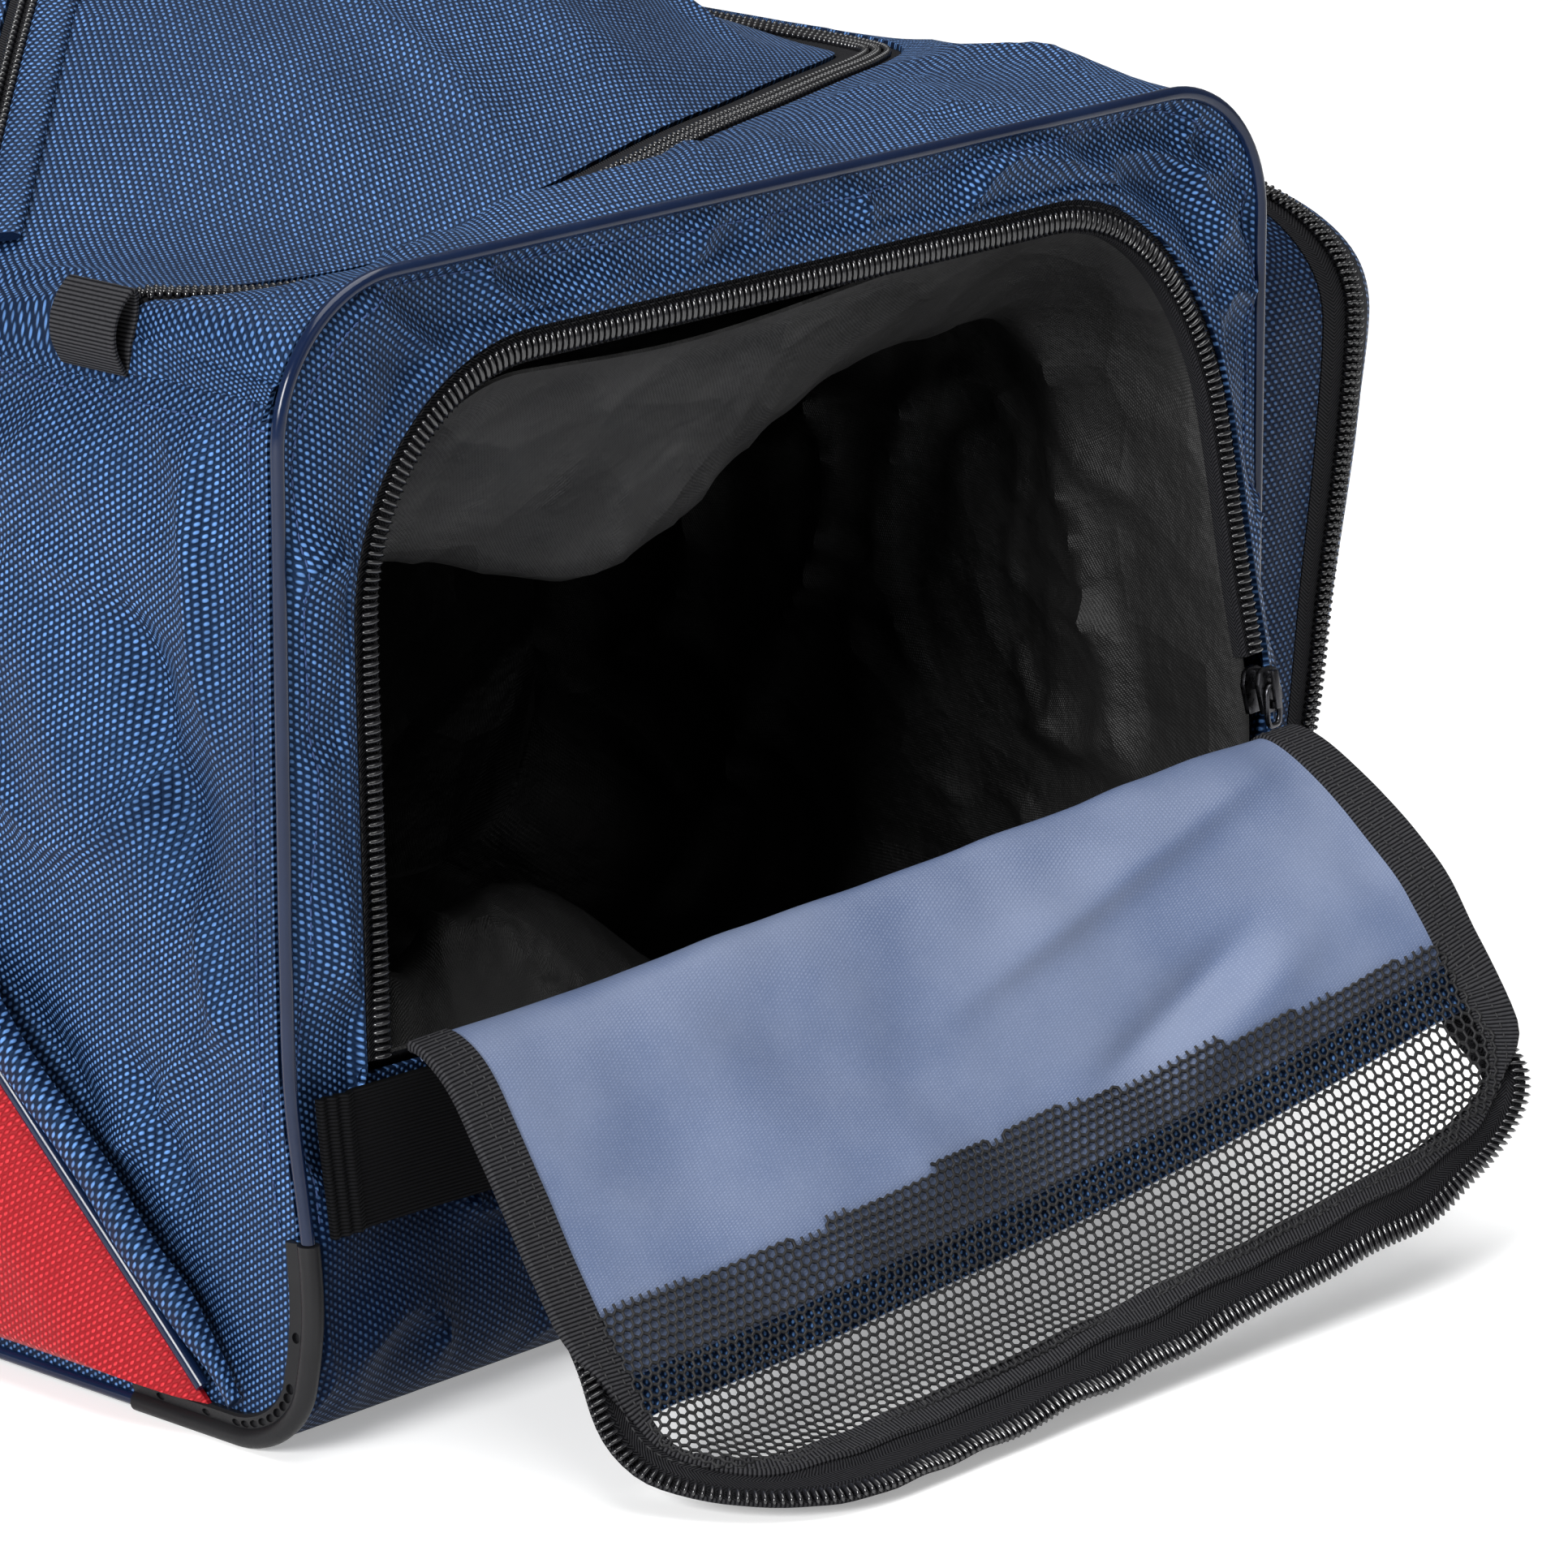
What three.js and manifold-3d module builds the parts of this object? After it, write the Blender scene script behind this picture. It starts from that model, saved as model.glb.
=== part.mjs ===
// Wheeled sports holdall with a zipped pocket in one end, its door hanging open.
// Millimetres, +Z up. Y runs from the pocket end (-Y) to the wheeled end (+Y).
// The origin is the middle of the flat base, on the floor.

import * as THREE from 'three';
import { mergeVertices } from 'three/addons/utils/BufferGeometryUtils.js';
import Module from 'manifold-3d';

const wasm = await Module();
wasm.setup();

// Driving dimensions of the body
const BODY_WIDTH = 400;
const BODY_HEIGHT = 322;
const BODY_LENGTH = 800;
const TOP_RADIUS = 42;
const FLOOR_RADIUS = 22;
const SEAM_HEIGHT = 292;
const SIDE_BULGE = 6;
const FAR_BULGE = 10;
const LID_RISE = 60;
const LID_RAMP = 220;
const LID_CENTRE = -15;
const LID_HALF = 172;
const CLOTH = 2;
const GAP = 0.4;
const HALF_WIDTH = BODY_WIDTH / 2;
const SIDE_TOP = SEAM_HEIGHT - 1.5 * GAP;
const RIM_FOOT = SEAM_HEIGHT + 2 * GAP;

// Trim
const PIPING_RADIUS = 2.5;
const GUARD_RADIUS = 3;
const GUARD_TOP = 64;
const GUARD_FOOT = 62;
const GUARD_HOLE_RADIUS = 1.3;
const EDGE_INSET = GUARD_RADIUS + GAP;
const WEBBING_WIDTH = 38;
const WEBBING_THICKNESS = 1.8;
const WEBBING_LIFT = 1.5;
const LOOP_WIDTH = 25;
const LOOP_THICKNESS = 1.6;
const LOOP_START = 62;

// D-shaped mouth and its door
const MOUTH_HALF = 170;
const MOUTH_TOP = 294;
const HINGE_HEIGHT = 105;
const MOUTH_RADIUS = 64;
const TAPE_WIDTH = 9;
const ZIP_BACK = 1.4;
const SLIDER_HEIGHT = 147;
const SLIDER_LENGTH = 17;
const SLIDER_WIDTH = 12;
const DOOR_LENGTH = 187;
const DOOR_BAND = 24;
const DOOR_ZIP_WIDTH = 12;
const NET_START = 127;
const HEM_END = 143;
const DOOR_EDGE_START = 14;
const LINING = 1.2;
const NET = 1;

// Wheels
const WHEEL_RADIUS = 40;
const WHEEL_WIDTH = 26;
const HUB_RADIUS = 29;
const AXLE_RADIUS = 4;
const WHEEL_OUT = 46;
const WHEEL_X = 155;
const WHEEL_Z = WHEEL_RADIUS + 0.8;
const HOUSING_WIDTH = 54;
const HOUSING_FOOT = 38;
const HOUSING_TOP = 104;
const HOOD_CLEARANCE = 10;
const SLOT_WIDTH = 32;
const SLOT_CLEARANCE = 4;
const RUNNING_GAP = 0.1;

// How far the pocket end swells outwards at each height: at its piping, beside and across the mouth
const FRONT_ROWS = [
  { z: 0, edge: 0, left: 0, middle: 0, right: 0 },
  { z: 45, edge: 8, left: 8, middle: 12, right: 15 },
  { z: 104, edge: 1, left: 3, middle: 14, right: 26 },
  { z: 140, edge: 0, left: 2, middle: 12, right: 28 },
  { z: 180, edge: 0, left: 1, middle: 8, right: 20 },
  { z: 220, edge: 0, left: 0, middle: 4, right: 12 },
  { z: 260, edge: 0, left: 0, middle: 1, right: 3 },
  { z: 300, edge: 0, left: 0, middle: 0, right: 0 },
];

// Across the top, from the left seam to the right one: where the rim strip meets the end piping,
// the lid zip's line, half the zip's width, and how far the strip swells
const TOP_ROWS = [
  { pipeX: -198.2, zipX: -198.2, zipY: 62, zipZ: RIM_FOOT, half: GAP, swell: 0 },
  { pipeX: -193, zipX: -195, zipY: 58, zipZ: 300, half: 4, swell: 1 },
  { pipeX: -178, zipX: -180, zipY: 53, zipZ: 305, half: 9, swell: 2 },
  { pipeX: -148, zipX: -148, zipY: 50, zipZ: 307, half: 12, swell: 3 },
  { pipeX: -95, zipX: -95, zipY: 49, zipZ: 313, half: 12, swell: 4 },
  { pipeX: -40, zipX: -40, zipY: 50, zipZ: 318, half: 12, swell: 5 },
  { pipeX: 20, zipX: 18, zipY: 59, zipZ: 322, half: 12, swell: 6 },
  { pipeX: 70, zipX: 60, zipY: 70, zipZ: 323, half: 12, swell: 5 },
  { pipeX: 112, zipX: 100, zipY: 83, zipZ: 323, half: 12, swell: 5 },
  { pipeX: 150, zipX: 132, zipY: 95, zipZ: 322, half: 12, swell: 6 },
  { pipeX: 178, zipX: 153, zipY: 110, zipZ: 320, half: 12, swell: 6 },
  { pipeX: 193, zipX: 164, zipY: 132, zipZ: 318, half: 12, swell: 6 },
  { pipeX: 198.2, zipX: 168, zipY: 160, zipZ: 317, half: 12, swell: 7 },
];

// Along the right of the lid: the zip's place and the seam's place that the rim strip joins
const RUN_ROWS = [
  { zipY: 185, seamY: 90, swell: 6 },
  { zipY: 220, seamY: 190, swell: 5 },
  { zipY: BODY_LENGTH / 2, seamY: BODY_LENGTH / 2, swell: 5 },
];

// The hanging door by distance from its hinge: place of its left edge, middle and right edge
const DOOR_ROWS = [
  { along: 0, leftY: -3, leftZ: 105, middleY: -13, middleZ: 105, rightY: -26, rightZ: 106 },
  { along: 15, leftY: -12, leftZ: 113, middleY: -23, middleZ: 121, rightY: -34, rightZ: 127 },
  { along: 30, leftY: -25, leftZ: 106, middleY: -34, middleZ: 127, rightY: -44, rightZ: 139 },
  { along: 50, leftY: -37, leftZ: 90, middleY: -51, middleZ: 109, rightY: -65, rightZ: 133 },
  { along: 90, leftY: -59, leftZ: 57, middleY: -75, middleZ: 75, rightY: -97, rightZ: 111 },
  { along: 125, leftY: -80, leftZ: 28, middleY: -96, middleZ: 47, rightY: -117, rightZ: 86 },
  { along: 150, leftY: -98, leftZ: 10, middleY: -114, middleZ: 28, rightY: -138, rightZ: 62 },
  { along: DOOR_LENGTH, leftY: -142, leftZ: 5, middleY: -137, middleZ: 10, rightY: -145, rightZ: 35 },
];

// The lining sack by depth behind the mouth: its half width, floor, ceiling and corner roundings
const LINING_ROWS = [
  { depth: 16, half: 172, floor: 92, ceiling: 286, foot: 6, round: 58 },
  { depth: 50, half: 184, floor: 52, ceiling: 258, foot: 20, round: 48 },
  { depth: 130, half: 188, floor: 30, ceiling: 268, foot: 36, round: 44 },
  { depth: 230, half: 186, floor: 28, ceiling: 270, foot: 36, round: 44 },
  { depth: 262, half: 168, floor: 46, ceiling: 250, foot: 40, round: 52 },
];

// Round the woven loop on the left seam: its middle line
const LOOP_ROWS = [
  { x: -200.3, z: 289.6 },
  { x: -205.6, z: 297 },
  { x: -207, z: 304.5 },
  { x: -205.6, z: 312 },
  { x: -202.6, z: 316.4 },
  { x: -200.2, z: 312.5 },
  { x: -199.6, z: 306 },
  { x: -200.7, z: 298 },
];

// How deep the right pocket stands out at each height
const POCKET_ROWS = [
  { z: 36, depth: 46 },
  { z: 100, depth: 76 },
  { z: 150, depth: 87 },
  { z: 200, depth: 99 },
  { z: 240, depth: 103 },
  { z: 262, depth: 89 },
  { z: 284, depth: 54 },
];
const POCKET_FRONT = 26;
const POCKET_FLOOR = 36;
const POCKET_TOP = 284;
const POCKET_LOWER_RADIUS = 36;
const POCKET_UPPER_RADIUS = 52;

// Red panel low on the left side, and the raised pocket on the lid, both with slanted ends
const ACCENT_START = 40;
const ACCENT_FLOOR = 12;
const ACCENT_HEIGHT = 104;
const ACCENT_BULGE = 11;
const ACCENT_PIPING_RADIUS = 2.2;
const LID_POCKET_START = 130;
const LID_POCKET_SLANT = 0.78;
const LID_POCKET_LEFT = -184;
const LID_POCKET_RIGHT = -22;
const LID_POCKET_RISE = 4;

const bag = new THREE.Group();
bag.position.y = -BODY_LENGTH / 2;

function finish(color, roughness, metalness = 0) {
  return new THREE.MeshStandardMaterial({ color, roughness, metalness, flatShading: true });
}

const navyWeave = finish(0x22304f, 0.75);
const navyPiping = finish(0x1b2c5c, 0.25);
const blackWebbing = finish(0x1b1c20, 0.8);
const blackZip = finish(0x141519, 0.45);
const blackLining = finish(0x1a1b1f, 0.55);
const blackNet = finish(0x1d1e22, 0.7);
const blackRubber = finish(0x1c1d20, 0.55);
const coatedBlue = finish(0x8d9fd0, 0.4);
const redWeave = finish(0xb31f2c, 0.75);
const darkMetal = finish(0x3a3b40, 0.3, 1);
const greyPlastic = finish(0x4a4d52, 0.5);
const steel = finish(0xb9bcc0, 0.3, 1);

function addPiece(name, geometry, material) {
  const mesh = new THREE.Mesh(geometry, material);
  mesh.name = name;
  bag.add(mesh);
  return mesh;
}

// Value of one column of a table at a place along its key column, on a smooth curve
function lookUp(rows, key, at, column) {
  const last = rows.length - 1;
  if (at <= rows[0][key]) return rows[0][column];
  if (at >= rows[last][key]) return rows[last][column];
  const i = rows.findIndex((row) => row[key] > at) - 1;
  const slope = (k) => {
    const before = rows[Math.max(k - 1, 0)];
    const after = rows[Math.min(k + 1, last)];
    return (after[column] - before[column]) / (after[key] - before[key]);
  };
  const step = rows[i + 1][key] - rows[i][key];
  const rise = rows[i + 1][column] - rows[i][column];
  const start = slope(i) * step;
  const end = slope(i + 1) * step;
  const t = (at - rows[i][key]) / step;
  const bend = 3 * rise - 2 * start - end;
  return rows[i][column] + start * t + bend * t * t + (start + end - 2 * rise) * t ** 3;
}

// A closed mesh from points and faces, turned so that its faces point outwards
function closedMesh(points, faces) {
  let volume = 0;
  for (const [a, b, c] of faces) {
    volume += points[a].dot(new THREE.Vector3().crossVectors(points[b], points[c]));
  }
  const index = faces.flatMap(([a, b, c]) => (volume > 0 ? [a, b, c] : [a, c, b]));
  const geometry = new THREE.BufferGeometry().setFromPoints(points);
  geometry.setIndex(index);
  return geometry.toNonIndexed();
}

// Cloth wall on a grid of points, rows by columns, thickened to one side of the grid.
// loop joins the last column to the first, and centre closes the last row on one point.
// toward gives the way in at a point, where that isn't square to the grid.
function clothWall(grid, thickness, { loop = false, centre = null, toward = null } = {}) {
  const rows = grid.length;
  const columns = grid[0].length;
  const column = (j) => (loop ? (j + columns) % columns : THREE.MathUtils.clamp(j, 0, columns - 1));
  const points = grid.flat().map((p) => p.clone());
  for (let i = 0; i < rows; i++) {
    for (let j = 0; j < columns; j++) {
      const next = i + 1 < rows ? grid[i + 1][j] : centre ?? grid[i][j];
      const down = new THREE.Vector3().subVectors(next, grid[Math.max(i - 1, 0)][j]);
      const along = new THREE.Vector3().subVectors(grid[i][column(j + 1)], grid[i][column(j - 1)]);
      const square = down.cross(along).normalize().multiplyScalar(Math.sign(thickness));
      const inward = toward ? toward(grid[i][j], square, i) : square;
      points.push(grid[i][j].clone().addScaledVector(inward, Math.abs(thickness)));
    }
  }
  const layer = rows * columns;
  const id = (i, j, inner) => inner * layer + i * columns + (j % columns);
  const faces = [];
  const quad = (a, b, c, d) => faces.push([a, b, c], [a, c, d]);
  const spans = loop ? columns : columns - 1;
  for (let j = 0; j < spans; j++) {
    for (let i = 0; i + 1 < rows; i++) {
      quad(id(i, j, 0), id(i, j + 1, 0), id(i + 1, j + 1, 0), id(i + 1, j, 0));
      quad(id(i, j, 1), id(i + 1, j, 1), id(i + 1, j + 1, 1), id(i, j + 1, 1));
    }
    quad(id(0, j, 0), id(0, j, 1), id(0, j + 1, 1), id(0, j + 1, 0));
    if (!centre) {
      quad(id(rows - 1, j, 0), id(rows - 1, j + 1, 0), id(rows - 1, j + 1, 1), id(rows - 1, j, 1));
    }
  }
  if (!loop) {
    for (let i = 0; i + 1 < rows; i++) {
      quad(id(i, 0, 0), id(i + 1, 0, 0), id(i + 1, 0, 1), id(i, 0, 1));
      const end = columns - 1;
      quad(id(i, end, 0), id(i, end, 1), id(i + 1, end, 1), id(i + 1, end, 0));
    }
  }
  if (centre) {
    const outer = points.push(centre.clone()) - 1;
    const lean = new THREE.Vector3();
    for (let j = 0; j < columns; j++) {
      lean.add(points[id(rows - 1, j, 1)]).sub(points[id(rows - 1, j, 0)]);
    }
    const inner = points.push(centre.clone().add(lean.setLength(Math.abs(thickness)))) - 1;
    for (let j = 0; j < spans; j++) {
      faces.push([id(rows - 1, j, 0), id(rows - 1, j + 1, 0), outer]);
      faces.push([id(rows - 1, j + 1, 1), id(rows - 1, j, 1), inner]);
    }
  }
  return closedMesh(points, faces);
}

// A solid strip through rings of points, all of one section
function stripThrough(rings, section, loop) {
  const points = rings.flat();
  const size = section.length;
  const faces = [];
  const spans = loop ? rings.length : rings.length - 1;
  for (let k = 0; k < spans; k++) {
    const here = k * size;
    const next = ((k + 1) % rings.length) * size;
    for (let c = 0; c < size; c++) {
      const d = (c + 1) % size;
      faces.push([here + c, next + c, next + d], [here + c, next + d, here + d]);
    }
  }
  if (!loop) {
    const outline = section.map(([across, up]) => new THREE.Vector2(across, up));
    const end = (rings.length - 1) * size;
    const turn = THREE.ShapeUtils.area(outline);
    for (const [a, b, c] of THREE.ShapeUtils.triangulateShape(outline, [])) {
      const agrees = THREE.ShapeUtils.area([outline[a], outline[b], outline[c]]) * turn > 0;
      const [q, r] = agrees ? [b, c] : [c, b];
      faces.push([a, q, r], [end + a, end + r, end + q]);
    }
  }
  return closedMesh(points, faces);
}

// A strip carried along frames that say what is across and what is up
function carriedStrip(frames, section, loop = false) {
  const rings = frames.map((frame) => section.map(([across, up]) =>
    frame.place.clone().addScaledVector(frame.across, across).addScaledVector(frame.up, up)));
  return stripThrough(rings, section, loop);
}

// A strip that lies on a surface along the stations of an outline
function surfaceStrip(frameAt, stations, section) {
  const rings = stations.map(({ u, v, outU, outV }) => section.map(([across, up]) => {
    const frame = frameAt({ u: u + outU * across, v: v + outV * across, outU, outV });
    return frame.place.addScaledVector(frame.up, up);
  }));
  return stripThrough(rings, section, false);
}

function toSolid(geometry) {
  const bare = geometry.clone();
  bare.deleteAttribute('normal');
  bare.deleteAttribute('uv');
  const merged = mergeVertices(bare, 1e-4);
  return new wasm.Manifold(new wasm.Mesh({
    numProp: 3,
    vertProperties: Float32Array.from(merged.attributes.position.array),
    triVerts: Uint32Array.from(merged.index.array),
  }));
}

function fromSolid(solid) {
  const mesh = solid.getMesh();
  const geometry = new THREE.BufferGeometry();
  geometry.setAttribute('position', new THREE.BufferAttribute(mesh.vertProperties, 3));
  geometry.setIndex(new THREE.BufferAttribute(mesh.triVerts, 1));
  return geometry.toNonIndexed();
}

// Rounded outline, clockwise from the foot of its left side: places and outward directions
function roundedLoop({ left, right, bottom, top, lower, upper, side, arc, across, foot = 1 }) {
  const stations = [];
  const straight = (from, to, steps, out) => {
    for (let k = 0; k < steps; k++) {
      const t = k / steps;
      const u = from[0] + (to[0] - from[0]) * t;
      const v = from[1] + (to[1] - from[1]) * t;
      stations.push({ u, v, outU: out[0], outV: out[1] });
    }
  };
  const corner = (cu, cv, radius, start, steps) => {
    for (let k = 0; k < steps; k++) {
      const angle = start - (Math.PI / 2) * (k / steps);
      const outU = Math.cos(angle);
      const outV = Math.sin(angle);
      stations.push({ u: cu + radius * outU, v: cv + radius * outV, outU, outV });
    }
  };
  straight([left, bottom + lower], [left, top - upper], side, [-1, 0]);
  corner(left + upper, top - upper, upper, Math.PI, arc);
  straight([left + upper, top], [right - upper, top], across, [0, 1]);
  corner(right - upper, top - upper, upper, Math.PI / 2, arc);
  straight([right, top - upper], [right, bottom + lower], side, [1, 0]);
  corner(right - lower, bottom + lower, lower, 0, foot);
  straight([right - lower, bottom], [left + lower, bottom], across, [0, -1]);
  corner(left + lower, bottom + lower, lower, -Math.PI / 2, foot);
  return stations;
}

// Place and directions of a station of an outline that lies on a surface
function frameOn(surface, { u, v, outU, outV }) {
  const nudge = 0.5;
  const place = surface(u, v);
  const alongU = surface(u + nudge, v).sub(surface(u - nudge, v));
  const alongV = surface(u, v + nudge).sub(surface(u, v - nudge));
  const up = new THREE.Vector3().crossVectors(alongU, alongV).normalize();
  const across = alongU.multiplyScalar(outU).addScaledVector(alongV, outV).normalize();
  return { place, across, up };
}

// Swelling of the pocket end at a place on it
function frontSwell(x, z) {
  const at = (column) => lookUp(FRONT_ROWS, 'z', z, column);
  const across = [
    { x: -HALF_WIDTH, out: at('edge') },
    { x: -MOUTH_HALF, out: at('left') },
    { x: 0, out: at('middle') },
    { x: MOUTH_HALF, out: at('right') },
    { x: HALF_WIDTH, out: at('edge') },
  ];
  return lookUp(across, 'x', x, 'out');
}

// The end walls turn under at the floor, so they are measured by the distance up from the base seam
const TURN = (FLOOR_RADIUS * Math.PI) / 2;
const upFromSeam = (z) => z - FLOOR_RADIUS + TURN;

function turnUnder(distance) {
  const angle = Math.min(distance / FLOOR_RADIUS, Math.PI / 2);
  return {
    y: FLOOR_RADIUS * (1 - Math.sin(angle)),
    z: FLOOR_RADIUS * (1 - Math.cos(angle)) + Math.max(distance - TURN, 0),
  };
}

function frontPoint(x, distance) {
  const { y, z } = turnUnder(distance);
  return new THREE.Vector3(x, y - frontSwell(x, z), z);
}

function farPoint(x, distance) {
  const { y, z } = turnUnder(distance);
  const upper = Math.sin(Math.PI * THREE.MathUtils.smoothstep(z, 130, BODY_HEIGHT + 60));
  const dome = Math.cos((Math.PI * x) / BODY_WIDTH) * upper;
  return new THREE.Vector3(x, BODY_LENGTH - y + FAR_BULGE * Math.max(dome, 0), z);
}

// The way into the body from an end wall, up from the floor at the turn
function intoBody(z, forward) {
  const rise = Math.min(z / FLOOR_RADIUS, 1);
  return new THREE.Vector3(0, forward * Math.sqrt(1 - (1 - rise) ** 2), 1 - rise);
}

const wallLoop = (inset, steps) => roundedLoop({
  left: inset - HALF_WIDTH,
  right: HALF_WIDTH - inset,
  bottom: 0,
  top: upFromSeam(BODY_HEIGHT - inset),
  lower: 2,
  upper: TOP_RADIUS - inset,
  ...steps,
});

const mouthLoop = (grow, steps, bottom = HINGE_HEIGHT) => roundedLoop({
  left: -MOUTH_HALF - grow,
  right: MOUTH_HALF + grow,
  bottom: upFromSeam(bottom),
  top: upFromSeam(MOUTH_TOP + grow),
  lower: 2,
  upper: MOUTH_RADIUS + grow,
  ...steps,
});

// Facets of the outlines that follow the mouth
const MOUTH_STEPS = { side: 5, arc: 5, across: 6 };

// Pocket end wall with its mouth cut out
function makeEndPanel() {
  const outer = wallLoop(EDGE_INSET, MOUTH_STEPS);
  const mouth = mouthLoop(TAPE_WIDTH, MOUTH_STEPS, HINGE_HEIGHT - GAP);
  const shares = [0, 0.08, 0.17, 0.28, 0.4, 0.52, 1];
  const grid = shares.map((share) => outer.map(({ u, v }, k) => {
    const x = THREE.MathUtils.lerp(u, mouth[k].u, share);
    const distance = THREE.MathUtils.lerp(v, mouth[k].v, share);
    return frontPoint(x, distance);
  }));
  const toward = ({ z }) => intoBody(z, 1);
  addPiece('end_panel', clothWall(grid, CLOTH, { loop: true, toward }), navyWeave);
}

function makeFarEndPanel() {
  const outer = wallLoop(EDGE_INSET, { side: 3, arc: 4, across: 4 });
  const middle = upFromSeam(BODY_HEIGHT / 2);
  const shares = [0, 0.1, 0.2, 0.34, 0.6];
  const grid = shares.map((share) => outer.map(({ u, v }) =>
    farPoint(u * (1 - share), THREE.MathUtils.lerp(v, middle, share))));
  const centre = farPoint(0, middle);
  const toward = ({ z }) => intoBody(z, -1);
  addPiece('far_end_panel', clothWall(grid, CLOTH, { loop: true, centre, toward }), navyWeave);
}

function makeBase() {
  const width = BODY_WIDTH - 2 * EDGE_INSET;
  const length = BODY_LENGTH - 2 * (FLOOR_RADIUS + GAP);
  const board = new THREE.BoxGeometry(width, length, 3);
  board.translate(0, BODY_LENGTH / 2, 1.5);
  addPiece('base_panel', board, blackRubber);
}

// Side walls, between the floor piping, the end piping and the seam under the lid
const archX = (z) => {
  const above = Math.max(z - (BODY_HEIGHT - TOP_RADIUS), 0);
  return HALF_WIDTH - TOP_RADIUS + Math.sqrt(TOP_RADIUS ** 2 - above ** 2);
};

const archZ = (x) => {
  const beyond = Math.max(Math.abs(x) - (HALF_WIDTH - TOP_RADIUS), 0);
  return BODY_HEIGHT - TOP_RADIUS + Math.sqrt(TOP_RADIUS ** 2 - beyond ** 2);
};

function sideX(y, z) {
  const near = Math.min(1, Math.min(y, BODY_LENGTH - y) / 160);
  const swell = SIDE_BULGE * (1 - (1 - Math.max(near, 0)) ** 2);
  return archX(z) + swell * Math.sin((Math.PI * Math.min(z, SEAM_HEIGHT)) / SEAM_HEIGHT);
}

// Line of the corner cords in the plane of a side: the turn at the floor, then up the end
function cornerLine(angle, inset) {
  return {
    y: FLOOR_RADIUS - (FLOOR_RADIUS - inset) * Math.sin(angle),
    z: FLOOR_RADIUS - (FLOOR_RADIUS - GUARD_RADIUS - inset) * Math.cos(angle),
  };
}

const edgeSwell = (z) => lookUp(FRONT_ROWS, 'z', z, 'edge');

function makeSides() {
  const turns = [0, 0.4, 0.8, 1.2, Math.PI / 2];
  const heights = [70, 130, 200, 262];
  const foot = turns.map((angle) => cornerLine(angle, EDGE_INSET + GAP));
  const upper = [...heights, SIDE_TOP].map((z) => ({ y: EDGE_INSET + GAP, z }));
  const lines = [...foot, ...upper];
  const columns = 8;
  for (const [name, side] of [['side_left', -1], ['side_right', 1]]) {
    const grid = lines.map(({ y, z }) => Array.from({ length: columns + 1 }, (_, j) => {
      const share = 0.5 - 0.5 * Math.cos((Math.PI * j) / columns);
      const place = THREE.MathUtils.lerp(y - edgeSwell(z), BODY_LENGTH - y, share);
      return new THREE.Vector3(side * sideX(place, z), place, z);
    }));
    addPiece(name, clothWall(grid, side * CLOTH), navyWeave);
  }
}

const mirrored = (point) => new THREE.Vector3(point.x, BODY_LENGTH - point.y, point.z);

// The lid zip's line: along the pocket end, round the right of the lid, along the far end
function zipLine() {
  const front = TOP_ROWS.map((row) => ({
    place: new THREE.Vector3(row.zipX, row.zipY, row.zipZ),
    half: row.half,
  }));
  const last = front[front.length - 1];
  const run = RUN_ROWS.map((row) => ({
    place: new THREE.Vector3(last.place.x, row.zipY, last.place.z),
    half: last.half,
  }));
  const there = [...front, ...run];
  const back = there.slice(0, -1).reverse();
  const line = [...there, ...back.map(({ place, half }) => ({ place: mirrored(place), half }))];
  const end = line.length - 1;
  return line.map(({ place, half }, k) => {
    const ahead = line[Math.min(k + 1, end)].place;
    const behind = line[Math.max(k - 1, 0)].place;
    const across = new THREE.Vector3(ahead.y - behind.y, behind.x - ahead.x, 0).normalize();
    return { place, half, across, up: new THREE.Vector3(0, 0, 1) };
  });
}

const lidZipLine = zipLine();

function makeTopRim() {
  const front = TOP_ROWS.map(({ pipeX }) =>
    new THREE.Vector3(pipeX, EDGE_INSET, Math.max(archZ(pipeX), RIM_FOOT)));
  const seamX = archX(SEAM_HEIGHT);
  const run = RUN_ROWS.map((row) => new THREE.Vector3(seamX, row.seamY, RIM_FOOT));
  const there = [...front, ...run];
  const outer = [...there, ...there.slice(0, -1).reverse().map(mirrored)];
  const swells = [...TOP_ROWS, ...RUN_ROWS].map((row) => row.swell);
  const swell = [...swells, ...swells.slice(0, -1).reverse()];
  const inner = lidZipLine.map(({ place, half, across }) =>
    place.clone().addScaledVector(across, half + GAP));
  const end = outer.length - 1;
  const shares = [0, 0.33, 0.67, 1];
  const grid = shares.map((share) => outer.map((from, k) => {
    const chord = new THREE.Vector3().subVectors(inner[k], from);
    const ahead = inner[Math.min(k + 1, end)];
    const behind = inner[Math.max(k - 1, 0)];
    const out = new THREE.Vector3().subVectors(ahead, behind).cross(chord).normalize();
    const lift = swell[k] * Math.sin(Math.PI * share);
    return from.clone().addScaledVector(chord, share).addScaledVector(out, lift);
  }));
  const down = new THREE.Vector3(0, 0, -1);
  const toward = ({ x }, square, row) => {
    if (Math.abs(x) > seamX - 1) return new THREE.Vector3(-Math.sign(x), 0, 0);
    return square.lerp(down, shares[row] ** 2).normalize();
  };
  addPiece('top_rim', clothWall(grid, CLOTH, { toward }), navyWeave);
}

// Height of the lid: the zip's height across the bag, and a dome above it
function lidPoint(x, y, lift = 0) {
  const zipY = lookUp(TOP_ROWS, 'zipX', x, 'zipY');
  const inside = Math.max(Math.min(y, BODY_LENGTH - y) - zipY, 0);
  const along = Math.sin((Math.PI / 2) * Math.min(inside / LID_RAMP, 1)) ** 0.8;
  const across = Math.max(1 - (Math.abs(x - LID_CENTRE) / LID_HALF) ** 2.4, 0);
  const z = lookUp(TOP_ROWS, 'zipX', x, 'zipZ') + LID_RISE * along * across;
  return new THREE.Vector3(x, y, z + lift);
}

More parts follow.
